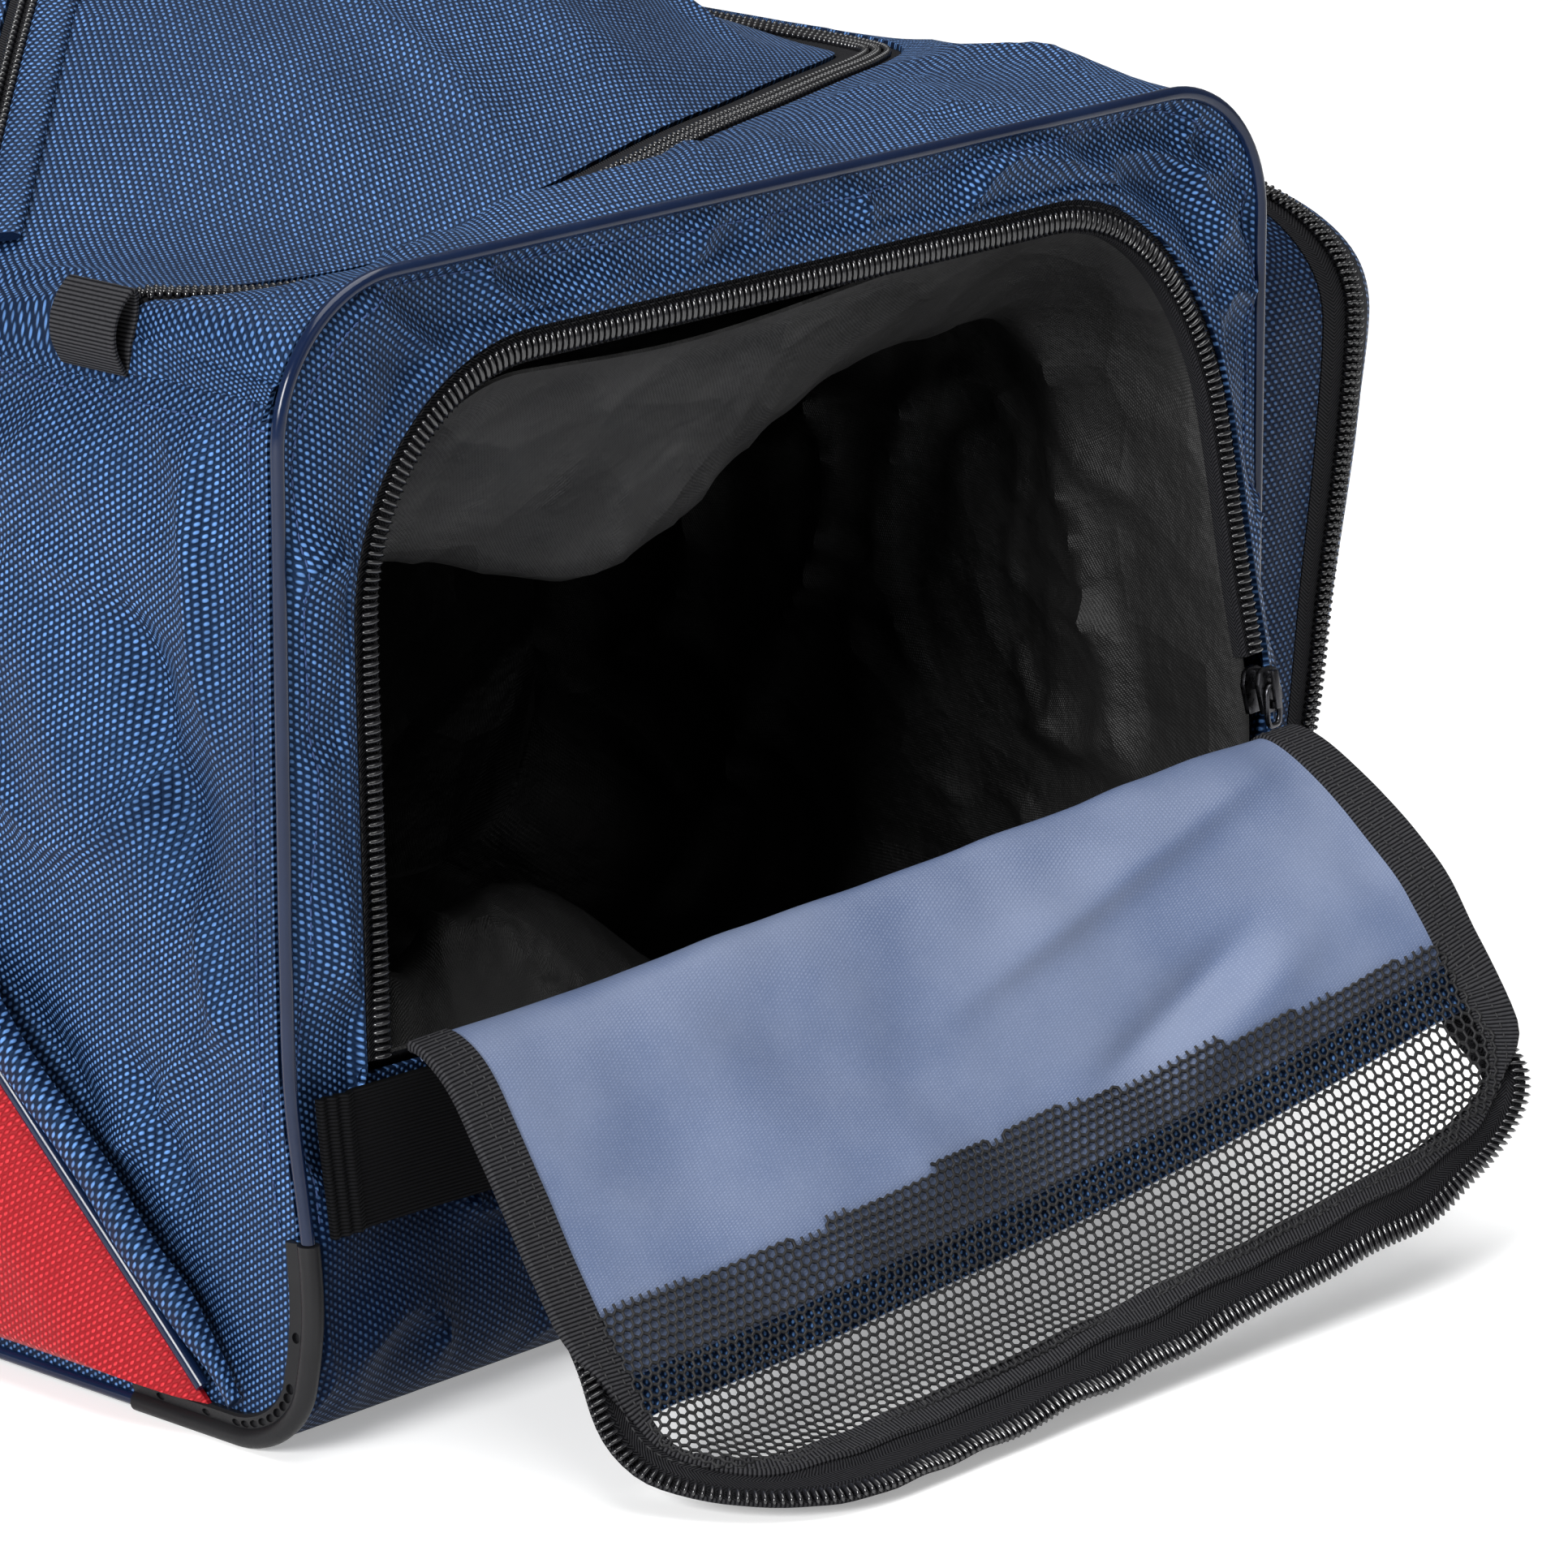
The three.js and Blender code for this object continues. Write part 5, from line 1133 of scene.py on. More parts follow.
def makeGuards():
    form = guardForm
    y, z, lean = guardLine()
    r, wide, thick, proud = [form[key] for key in ("radius", "flange", "thick", "proud")]
    section = [(r * math.cos(a), r * math.sin(a)) for a in np.linspace(-0.35 * math.pi, math.pi, 12)]
    section += [(-r, -1.5), (proud - thick, -2.6), (proud - thick, -wide), (proud - 0.7, -wide),
                (proud, 0.8 - wide)]
    pick = np.linspace(7, len(y) - 4, form["holes"]).astype(int)
    for end, far in (("Front", False), ("Back", True)):
        for hand, side in (("Left", -1), ("Right", 1)):
            endY = body["length"] - y if far else y - lookUp(frontRows, "z", z, "edge")
            place = np.stack([np.full(len(y), side * halfWidth), endY, z], axis=-1)
            way = np.stack([lean * 0, (1 if far else -1) * np.sin(lean), -np.cos(lean)], axis=-1)
            right = np.tile([side * 1.0, 0, 0], (len(y), 1))
            guard = stripPiece(
                f"cornerGuard{end}{hand}", carried(place, right, way, section), [guardRubber], sharp=55)
            holes = place - way * (wide - form["holeEdge"]) + right * proud
            carve(guard, slotCutter(holes[pick], way[pick], right[pick]))
            standIn(guard, [f"corner_guard_{end.lower()}_{hand.lower()}"])


def slotCutter(places, ways, rights):
    # short rounded slots into the flange, each square to it
    form = guardForm
    made = bmesh.new()
    for place, way, right in zip(places, ways, rights):
        along = np.cross(way, right)
        rims = []
        for depth in (-form["holeDeep"], form["holeOut"]):
            ring = []
            for k in range(form["holeSides"]):
                angle = 2 * math.pi * k / form["holeSides"]
                point = place + along * form["holeLong"] / 2 * math.cos(angle)
                point = point + way * form["holeWide"] / 2 * math.sin(angle) + right * depth
                ring.append(made.verts.new(toFrame(point)[0]))
            rims.append(ring)
        made.faces.new(rims[0])
        made.faces.new(rims[1][::-1])
        for k in range(form["holeSides"]):
            made.faces.new((rims[0][k - 1], rims[1][k - 1], rims[1][k], rims[0][k]))
    bmesh.ops.recalc_face_normals(made, faces=made.faces)
    mesh = bpy.data.meshes.new("slots")
    made.to_mesh(mesh)
    made.free()
    return inScene("slots", mesh)


def carve(piece, cutter):
    made = bmesh.new()
    made.from_mesh(piece.data)
    bmesh.ops.recalc_face_normals(made, faces=made.faces)
    made.to_mesh(piece.data)
    made.free()
    cut = piece.modifiers.new("slots", "BOOLEAN")
    cut.operation, cut.object, cut.solver = "DIFFERENCE", cutter, "EXACT"
    cut.use_self = True
    depsgraph = bpy.context.evaluated_depsgraph_get()
    mesh = bpy.data.meshes.new_from_object(piece.evaluated_get(depsgraph), depsgraph=depsgraph)
    piece.modifiers.clear()
    piece.data = mesh
    mesh.set_sharp_from_angle(angle=math.radians(45))
    bpy.data.objects.remove(cutter)


# Mouth of the end pocket: zip, lining and webbing
mouthCoil = {"pitch": 2.3, "reach": 3.5, "girth": 0.86, "rise": 1.5, "tree": barTree}
mouthSteps = {"side": 60, "arc": 24, "across": 84}
mouthLip = mouthLoop(-3, mouth["hinge"] + 4, **mouthSteps, foot=4)
tapeThread = {"pitch": 3.4, "length": 2.5, "girth": 0.28, "material": blackThread, "slot": "black_zip"}


def makeMouthZip():
    line = archOf(mouthLoop(0, mouth["hinge"] + 1, **mouthSteps), mouthSteps)[:, :-1]
    underSlider = (line[0] > mouth["half"] - 1) & (line[1] < upFromSeam(mouth["sliderHeight"] + 9))
    line = line[:, ~underSlider]
    section = [(6.2, -1.4), (6.2, -0.7), (5, -0.2), (0.5, 0.3), (-1.2, 0.9), (-4.8, 0.7), (-5.2, -0.4),
               (-4.6, -4.5), (-3.8, -4.5), (-4.0, -1.6)]
    tape = stripPiece("mouthZipTape", laidOn(frontPoint, line, section), [zipTape],
                      uvAcross=[6.2, 6.2, 5, 0.5, -1.2, -4.8, -5.6, -10, -11, -8])
    standIn(tape, ["end_zip"])
    u, v, outU, outV = line
    place, across, up = framesOn(frontPoint, u - 1.2 * outU, v - 1.2 * outV, outU, outV)
    teethAlong("mouthZipTeeth", place + up * 1.6, across, up, mouthCoil)
    place, across, up = framesOn(frontPoint, u + 2.8 * outU, v + 2.8 * outV, outU, outV)
    stitchesAlong("mouthZipStitches", place + up * 0.45, up, tapeThread)


liningRows = {
    "depth": [0, 16, 50, 90, 130, 230, 262],
    "half": [164, 166, 175, 177, 178, 176, 160],
    "floor": [109, 92, 52, 38, 30, 28, 46],
    "ceiling": [291, 282, 252, 262, 268, 270, 250],
    "foot": [2, 6, 20, 28, 36, 36, 40],
    "round": [61, 58, 46, 44, 44, 44, 52],
}
liningForm = {
    "rows": 64, "thick": 1.0, "behindZip": 2.2, "sag": 48, "heap": 74, "bulge": 6,
    "bulgeFold": (13, 85, 36), "fold": (6, 60, 17), "crease": (5, 46, 20, 0.35),
    "fineCrease": (1.2, 33, 37, 0.3), "wallDepth": 4, "heapDepth": 9, "looseCrease": (1, 46, 38, 0.35),
    "heapFold": (9, 30, 39), "inMost": -2.5, "lit": (35, 75),
}


def makeLining():
    form = liningForm
    depths = liningRows["depth"][-1] * np.linspace(0, 1, form["rows"]) ** 1.35
    lip, _, up = framesOn(frontPoint, *mouthLip)
    lip = lip - up * form["behindZip"]
    rings = []
    for depth in depths:
        row = {key: float(lookUp(liningRows, "depth", depth, key)) for key in liningRows}
        u, v, _, _ = roundedLoop(
            -row["half"], row["half"], row["floor"], row["ceiling"], row["foot"], row["round"],
            **mouthSteps, foot=4)
        y = depth + lip[:, 1] * (1 - smoothStep(0, 60, depth))
        blend = smoothStep(0, 30, depth)
        rings.append(lip * (1 - blend) + np.stack([u, y, v], axis=-1) * blend)
    grid = np.stack(rings)
    normal = gridNormals(grid, True) * inwardTurn(grid)
    deep = grid[..., 1]
    # the ceiling sags behind the zip, and a heap of cloth lies on the floor
    upper = smoothStep(225, 262, grid[..., 2])
    hang = np.exp(-((grid[..., 0] + 45) / 80) ** 2) + 0.3 * np.exp(-((grid[..., 0] + 150) / 50) ** 2)
    grid[..., 2] -= form["sag"] * hang * upper * np.exp(-((deep - 42) / 30) ** 2)
    low = 1 - smoothStep(60, 120, grid[..., 2])
    heap = np.exp(-((grid[..., 0] + 45) / 72) ** 2 - ((deep - 78) / 36) ** 2) * low
    grid[..., 2] += form["heap"] * heap
    rightWall = smoothStep(134, 168, grid[..., 0]) * smoothStep(6, 40, deep)
    bulge = np.exp(-((deep - 46) / 24) ** 2) * rightWall
    grid[..., 0] -= bulge * (form["bulge"] + waves(grid * (0, 0, 1), form["bulgeFold"]))
    free = smoothStep(6, 34, deep)
    calm = 1 - 0.85 * smoothStep(190, 235, grid[..., 2])
    tall = grid * (0.8, 0.8, 0.4)
    push = free * calm * (waves(tall, form["fold"]) + ridges(tall, form["crease"]))
    loose = form["wallDepth"] * rightWall + form["heapDepth"] * heap
    push += loose * ridges(grid, form["looseCrease"]) + heap * waves(grid, form["heapFold"])
    push += free * ridges(grid * (1, 0.6, 1), form["fineCrease"])
    grid = grid + normal * np.maximum(push, form["inMost"])[..., None]
    around = np.cumsum(np.linalg.norm(np.diff(grid[20], axis=0, append=grid[20][:1]), axis=-1))
    uv = np.stack(np.broadcast_arrays(around[None, :], depths[:, None]), axis=-1) * mm
    # painted light and shade: near is 1 within 35 mm of the mouth and falls to 0 by 75 mm deep, raised on
    # the heap, so the lining is painted lighter there and dark further in
    near = np.clip(1 - smoothStep(*form["lit"], deep) + 0.7 * heap, 0, 1)
    piece = sheetPiece("pocketLining", grid, form["thick"], [blackLining], uv, loop=True, closeEnd=True,
                       values={"near": near}, toward=-normal)
    standIn(piece, ["pocket_lining"])


def inwardTurn(grid):
    # 1 where the ring grid's normals look into the sack
    middle = np.array([0, 0, 150.0])
    inner = (middle - grid) * (1, 0, 1)
    return 1.0 if np.mean(np.sum(gridNormals(grid, True) * inner, axis=-1)) > 0 else -1.0


webbingForm = {
    "width": 38, "thick": 1.6, "lift": 1.4, "columns": 150, "rows": 10, "slack": (1.2, 46, 21), "turn": 12,
    "turnRib": 4.2,
}


def makeWebbing():
    form = webbingForm
    reach = halfWidth - body["inset"] - 2.2
    top = mouth["hinge"] - 2
    inner = form["turn"] + 3 - reach
    x = np.r_[np.linspace(-reach, inner, 46), np.linspace(inner, reach, form["columns"])[1:]][None, :]
    z = np.linspace(top - form["width"], top, form["rows"])[:, None]
    x, z = np.broadcast_arrays(x, z)
    grid = frontPoint(x, upFromSeam(z))
    slack = waves(grid * (1, 0, 0.4), form["slack"]) + 0.8
    ends = smoothStep(0, 20, reach - np.abs(x))
    fromEnd = x + reach
    turned = smoothStep(form["turn"] + 0.8, form["turn"] - 0.8, fromEnd)
    turned = turned * (1.3 + 0.45 * np.sin(2 * math.pi * fromEnd / form["turnRib"]))
    grid[..., 1] -= form["thick"] + form["lift"] + np.maximum(slack, 0) * ends + turned
    uv = np.stack([z, x], axis=-1) * mm
    toward = np.zeros_like(grid)
    toward[..., 1] = 1
    piece = sheetPiece("endWebbing", grid, form["thick"], [blackWebbing], uv, toward=toward)
    standIn(piece, ["end_webbing"])


# The door, hanging open: coated cloth, net window, binding, half of the zip
doorForm = {
    "rows": 96, "columns": 112, "fold": (3.2, 64, 22), "crumple": (1.2, 24, 23), "netGirth": 0.56,
    "cell": 3.1, "hem": 121, "sideBand": 18.6, "windowRadius": 24,
}
# the net's cut edge, uneven, by place across the door
netEdge = {
    "u": [-170, -128, -75, -73, -36, -34, -6, -4, 24, 26, 72, 74, 120, 170],
    "along": [102, 102, 105, 102, 104, 100, 102, 100, 102, 104, 105, 108, 111, 115],
}
# dents of the open door, by place across it and distance from the hinge
doorFolds = {
    "start": [(18, 62), (95, 84), (-70, 52), (-120, 90), (60, 112), (-20, 108)],
    "end": [(128, 44), (40, 100), (-20, 78), (-60, 122), (110, 96), (-90, 70)],
    "before": [7, 9, 16, 14, 12, 14],
    "after": [16, 12, 14, 18, 14, 16],
    "depth": [5.0, -4.4, -3.4, 3.4, 3.4, 2.6],
}


def doorHalf(along):
    # half the width between the side bindings, round at the free end
    radius = doorForm["windowRadius"]
    over = np.maximum(along - (mouth["doorLength"] - mouth["doorBand"] - 1.6 - radius), 0)
    return mouth["half"] - doorForm["sideBand"] - radius + np.sqrt(np.maximum(radius**2 - over**2, 0))


def doorRelief(place, along):
    # soft waves of the hanging door, none at the hinge
    free = smoothStep(4, 40, along) * (1 - 0.7 * smoothStep(115, 150, along))
    free = free * smoothStep(-4, 20, doorHalf(along) - np.abs(place[..., 0]))
    soft = waves(place * (1, 0.5, 0.5), doorForm["fold"]) + waves(place, doorForm["crumple"])
    return free * (soft + foldAlong(place[..., 0], along, doorFolds))


def makeDoor():
    form = doorForm
    along = np.linspace(0.8, mouth["hemEnd"], form["rows"])[:, None]
    share = np.linspace(-1, 1, form["columns"])[None, :]
    u = (doorHalf(along) + 3.0) * share
    along = np.broadcast_to(along, u.shape)
    place, _, up = framesOn(doorPoint, u, along, u * 0, u * 0 + 1, -1)
    grid = place + up * doorRelief(place, along)[..., None]
    uv = np.stack([u, along], axis=-1) * mm
    piece = sheetPiece("doorPanel", grid, body["cloth"], [coatedBlue, navyWeave], uv, toward=-up)
    hem = along[:-1, :-1].ravel() > form["hem"]
    slots = np.zeros(len(piece.data.polygons), np.int32)
    piece.data.polygons.foreach_get("material_index", slots)
    slots[:hem.size][hem] = 1
    piece.data.polygons.foreach_set("material_index", slots)
    standIn(piece, ["door_panel"])


def netLattice(cell, low, high, half):
    # corners and strands of six-sided cells over a strip, a cell's width apart
    side = cell / math.sqrt(3)
    points, known, strands = [], {}, []

    def corner(u, v):
        key = (round(u * 50), round(v * 50))
        if key not in known:
            known[key] = len(points)
            points.append((u, v))
        return known[key]

    rows = int((high - low) / (1.5 * side)) + 1
    for row in range(rows):
        shift = cell / 2 if row % 2 else 0.0
        v = low + 1.5 * side * row
        for column in range(-int(half / cell) - 1, int(half / cell) + 2):
            u = column * cell + shift
            top = (u, v + side)
            left, right = (u - cell / 2, v + side / 2), (u + cell / 2, v + side / 2)
            strands += [(corner(*top), corner(*left)), (corner(*top), corner(*right)),
                        (corner(*right), corner(u + cell / 2, v - side / 2))]
    return np.array(points), strands


def makeDoorNet():
    form = doorForm
    end = mouth["doorLength"] - mouth["doorBand"] + 3
    points, strands = netLattice(form["cell"], mouth["netStart"], end, mouth["half"])
    inside = (np.abs(points[:, 0]) < doorHalf(points[:, 1]) + 2.5) & (points[:, 1] < end)
    inside &= points[:, 1] > np.interp(points[:, 0], netEdge["u"], netEdge["along"])
    number = np.cumsum(inside) - 1
    strands = [(int(number[a]), int(number[b])) for a, b in strands if inside[a] and inside[b]]
    u, along = points[inside].T
    place, _, up = framesOn(doorPoint, u, along, u * 0, u * 0 + 1, -1)
    place = place + up * (doorRelief(place, along) + 0.9)[:, None]
    net = grown("doorNet", place, strands, netTree, {"Girth": form["netGirth"] * mm, "Material": blackNet})
    standIn(net, ["door_mesh"])


doorThread = {"pitch": 3.2, "length": 2.3, "girth": 0.3, "material": blackThread, "slot": "black_webbing"}


def makeDoorEdge():
    steps = {"side": 50, "arc": 26, "across": 70}
    loop = roundedLoop(
        -mouth["half"], mouth["half"], mouth["edgeStart"], mouth["doorLength"], 0.4, mouth["radius"],
        **steps)
    edge = archOf(loop, steps)
    band, tapeWidth = mouth["doorBand"], mouth["doorTape"]
    u, v, outU, outV = edge
    beside = smoothStep(0.6, 0.95, np.abs(outU))
    tucked = beside * np.where(outU > 0, smoothStep(168, 140, v), smoothStep(140, 100, v))
    ended = smoothStep(0.75, 0.98, outV)
    corner = (2 * outU * outV) ** 2 * (outV > 0)
    inner = 7 * beside + 4 * corner - band - 1.0 - 2 * ended
    outer = -tapeWidth - 0.4 + 9 * tucked - 4 * ended
    section = flatSection(inner, outer, -2.2, 1.0, 0.8)
    binding = stripPiece("doorBinding", laidOn(doorPoint, edge, section, -1), [blackGrosgrain],
                         uvAcross=[point[0] for point in flatSection(-band, -tapeWidth, -2.2, 1.0, 0.8)])
    standIn(binding, ["door_binding"])
    under, shift, drop = tapeWidth + 3 + 4 * ended, -8 * tucked, -4 * tucked
    section = [(-under, -1.5), (-0.6, -1.5), (0, -0.9), (0, 0.2), (-4.6, 0.3), (-5.4, -0.2), (-under, -0.4)]
    section = [(shift + x, drop + height) for x, height in section]
    tape = stripPiece("doorZipTape", laidOn(doorPoint, edge, section, -1), [zipTape],
                      uvAcross=[-15, -0.6, 0, 0, -4.6, -5.4, -15])
    standIn(tape, ["door_zip"])
    out = shift - 2.2
    place, side, up = framesOn(doorPoint, u + out * outU, v + out * outV, outU, outV, -1)
    teethAlong("doorZipTeeth", place + up * (0.9 + drop)[:, None], -side, up, mouthCoil)
    for name, inset, height in (("doorBindingStitches", 19.4, 1.05), ("doorTapeStitches", 14.8, 1.02)):
        out = 5 * beside - inset - 3.2 * ended
        place, side, up = framesOn(doorPoint, u + out * outU, v + out * outV, outU, outV, -1)
        stitchesAlong(name, place + up * height, up, doorThread)


print("pocket end functions ready")
makePiping()
makeGuards()
makeMouthZip()
makeLining()
makeWebbing()
makeDoor()
makeDoorNet()
makeDoorEdge()
print("piping, guards, mouth and door made")


# Slider of the mouth zip, and its wire pull
sliderForm = {"length": 14, "wide": 10.5, "bevel": 0.6, "wire": 0.9, "pullLong": 12, "pullWide": 6}


def slab(made, outline, low, high, axes):
    # block over an outline, in the slider's own directions
    place, across, along, up = axes
    layers = []
    for height in (low, high):
        points = [place + across * x + along * y + up * height for x, y in outline]
        layers.append([made.verts.new(point) for point in toFrame(points)])
    faces = [made.faces.new(layers[0][::-1]), made.faces.new(layers[1])]
    for k in range(len(outline)):
        faces.append(made.faces.new((layers[0][k - 1], layers[0][k], layers[1][k], layers[1][k - 1])))
    edges = list({edge for face in faces for edge in face.edges})
    bmesh.ops.bevel(
        made, geom=edges, offset=sliderForm["bevel"] * mm, segments=2, affect="EDGES", profile=0.6)


def plainMesh(name, made, material, sharp=35):
    bmesh.ops.recalc_face_normals(made, faces=made.faces)
    mesh = bpy.data.meshes.new(name)
    made.to_mesh(mesh)
    made.free()
    mesh.materials.append(material)
    mesh.polygons.foreach_set("use_smooth", np.ones(len(mesh.polygons), bool))
    mesh.set_sharp_from_angle(angle=math.radians(sharp))
    return inScene(name, mesh)


def makeSlider():
    form = sliderForm
    half, wide = form["length"] / 2, form["wide"] / 2
    station = [np.array([value]) for value in (mouth["half"] - 2, upFromSeam(mouth["sliderHeight"]), 1, 0)]
    place, across, up = [part[0] for part in framesOn(frontPoint, *station)]
    axes = (place, across, np.cross(up, across), up)
    shield = [(-4, -half), (4, -half), (wide, half - 5), (wide - 1.4, half - 1.2), (2, half - 0.2),
              (-2, half - 0.2), (1.4 - wide, half - 1.2), (-wide, half - 5)]

    def bar(halfX, low, high):
        return [(-halfX, low), (halfX, low), (halfX, high), (-halfX, high)]

    made = bmesh.new()
    slab(made, shield, -1.4, 0.4, axes)
    slab(made, shield, 4.0, 5.8, axes)
    slab(made, bar(1.5, half - 7, half - 1), -0.4, 4.8, axes)
    for middle in (-4.6, 4.6):
        slab(made, bar(1.3, middle - 1.2, middle + 1.2), 5.0, 8.0, axes)
    slab(made, bar(1.3, -5.8, 5.8), 7.2, 8.6, axes)
    standIn(plainMesh("zipSlider", made, sliderMetal), ["end_zip_slider"])
    turn = np.linspace(0, 2 * math.pi, 40, endpoint=False)
    reach, spread = form["pullLong"] / 2, form["pullWide"] / 2
    y = 1.2 - reach + reach * np.sign(np.cos(turn)) * np.abs(np.cos(turn)) ** 0.5
    x = spread * np.sign(np.sin(turn)) * np.abs(np.sin(turn)) ** 0.6
    line = place + np.outer(x, axes[1]) + np.outer(y, axes[2]) + up * (6.7 + 0.1 * y[:, None])
    ahead = unit(np.roll(line, -1, 0) - np.roll(line, 1, 0))
    side = np.cross(ahead, up)
    rings = carried(line, side, np.tile(up, (len(line), 1)), roundSection(form["wire"], 10))
    standIn(stripPiece("zipPull", rings, [sliderMetal], loop=True, sharp=60), [])


# Loop of webbing at the end of the lid zip
loopForm = {
    "x": [-200.3, -205.6, -207, -205.6, -202.6, -200.2, -199.6, -200.7],
    "z": [289.6, 297, 304.5, 312, 316.4, 312.5, 306, 298],
    "start": 57, "width": 25, "thick": 1.5, "lean": 7, "raised": 3, "steps": 96,
}


def closedCurve(values, count):
    # smooth ring through the values
    values = np.asarray(values, float)
    at = np.arange(count) / count * len(values)
    k = at.astype(int)
    t = at - k
    before, here, after, beyond = [values[(k + j) % len(values)] for j in (-1, 0, 1, 2)]
    return 0.5 * (2 * here + (after - before) * t + (2 * before - 5 * here + 4 * after - beyond) * t**2
                  + (3 * here - before - 3 * after + beyond) * t**3)


def makeZipLoop():
    form = loopForm
    count = form["steps"]
    x, z = closedCurve(form["x"], count), closedCurve(form["z"], count)
    line = np.stack([x, np.full(count, form["start"]), z], axis=-1)
    ahead = unit(np.roll(line, -1, 0) - np.roll(line, 1, 0))
    up = np.tile([0.0, 1.0, 0.0], (count, 1))
    half = form["thick"] / 2
    section = flatSection(-half, half, 0, form["width"], 0.35)
    rings = carried(line, np.cross(ahead, up), up, section)
    share = (z - z.min())[:, None] / np.ptp(z)
    rings[..., 1] += 0.8 * np.sin(z / 6)[:, None] - form["lean"] * share
    rings[..., 2] += form["raised"] * (1 - share)
    piece = stripPiece(
        "zipLoop", rings, [blackGrosgrain], loop=True, uvAcross=[point[1] for point in section])
    standIn(piece, ["zip_loop"])


# Deep pocket on the right side
pocketForm = {
    "front": 26, "floor": 36, "top": 284, "lower": 36, "upper": 52, "gussetRows": 26, "zipRows": 9,
    "lipRows": 10, "faceRows": 26, "gussetEnd": 0.58, "zip": (0.588, 0.88), "lip": 0.886,
    "fold": (2.0, 40, 25), "crumple": (0.8, 18, 26), "faceFold": (2.4, 56, 27),
    "faceCrumple": (0.8, 22, 28), "shade": 0.7,
}
pocketInsets = {"share": [0, 0.3, 0.58, 0.76, 0.88, 0.98, 1.0], "inset": [0, -2, 0, 2, 8, 17, 30]}
pocketSteps = {"side": 44, "arc": 26, "across": 110, "foot": 14}


def pocketRing(share, scale=1.0):
    form = pocketForm
    inset = float(lookUp(pocketInsets, "share", share, "inset"))
    u, v, _, _ = roundedLoop(
        form["front"] + inset, body["length"] - form["front"] - inset, form["floor"] + inset,
        form["top"] - inset, form["lower"] - inset / 2, form["upper"] - inset / 2, **pocketSteps)
    middleY, middleZ = body["length"] / 2, (form["floor"] + form["top"]) / 2
    y, z = middleY + (u - middleY) * scale, middleZ + (v - middleZ) * scale
    return np.stack([sideX(y, z) + 0.8 + lookUp(pocketRows, "z", z, "depth") * share, y, z], axis=-1)


def pocketUv(grid):
    around = np.r_[0, np.cumsum(np.linalg.norm(np.diff(grid[0], axis=0), axis=1))]
    depth = np.r_[0, np.cumsum(np.linalg.norm(np.diff(grid[:, 0], axis=0), axis=1))]
    return np.stack(np.broadcast_arrays(around[None, :], depth[:, None]), axis=-1) * mm


def makeGusset():
    form = pocketForm
    grid = np.stack([pocketRing(share) for share in np.linspace(0, form["gussetEnd"], form["gussetRows"])])
    outward = gridNormals(grid, True) * pocketTurn(grid)
    free = np.sin(math.pi * np.linspace(0, 1, form["gussetRows"]))[:, None] ** 0.7
    push = free * (waves(grid * (1.4, 0.8, 0.8), form["fold"]) + waves(grid, form["crumple"]))
    grid = grid + outward * push[..., None]
    piece = sheetPiece("rightPocketGusset", grid, body["cloth"], [navyWeave], pocketUv(grid), loop=True,
                       values={"dusk": np.full(grid.shape[:2], form["shade"])}, toward=-outward)
    standIn(piece, ["right_pocket_gusset"])


def makePocketZip():
    form = pocketForm
    grid = np.stack([pocketRing(share) for share in np.linspace(*form["zip"], form["zipRows"])])
    outward = gridNormals(grid, True) * pocketTurn(grid)
    tape = sheetPiece(
        "rightPocketZip", grid, body["cloth"], [zipTape], pocketUv(grid), loop=True, toward=-outward)
    standIn(tape, ["right_pocket_zip"])
    middle = form["zipRows"] // 2
    across = unit(grid[middle + 1] - grid[middle - 1])
    closedTeeth("rightPocketTeeth", grid[middle], across, outward[middle])


def makePocketFace():
    form = pocketForm
    rings = [pocketRing(share) for share in np.linspace(form["lip"], 1, form["lipRows"])]
    rings += [pocketRing(1, scale) for scale in np.linspace(1, 0.03, form["faceRows"])[1:]]
    grid = np.stack(rings)
    outward = gridNormals(grid, True) * facing(grid, True, (1, 0, 0))
    free = np.r_[np.linspace(0, 0.6, form["lipRows"]), np.linspace(0.6, 1, form["faceRows"])[1:]][:, None]
    push = free * (waves(grid * (0, 0.7, 1), form["faceFold"]) + waves(grid, form["faceCrumple"]))
    grid = grid + outward * push[..., None]
    piece = sheetPiece("rightPocketFace", grid, body["cloth"], [navyWeave], grid[..., 1:] * mm, loop=True,
                       closeEnd=True, toward=-outward)
    standIn(piece, ["right_pocket_face"])


def pocketTurn(grid):
    # 1 where the ring grid's normals look away from the pocket's middle
    middle = np.array([0, body["length"] / 2, (pocketForm["floor"] + pocketForm["top"]) / 2])
    out = (grid - middle) * (0, 1, 1)
    return 1.0 if np.mean(np.sum(gridNormals(grid, True) * out, axis=-1)) > 0 else -1.0


# Red raised panel low on the left side
accentForm = {
    "start": 31, "floor": 10, "height": 104, "thick": 1.4, "fold": (1.6, 50, 29), "crumple": (0.6, 20, 30),
    "cord": 2.2, "edgeSway": (1.4, 26, 34), "edgeLift": (1.3, 17, 35),
}
accentRise = {"share": [0, 0.4, 0.88, 0.97, 1.0], "lift": [13.2, 13.2, 13.2, 7.2, 2.2]}


def accentPoint(y, z, lift):
    return np.stack([-sideX(y, z) - lift, y, z], axis=-1)


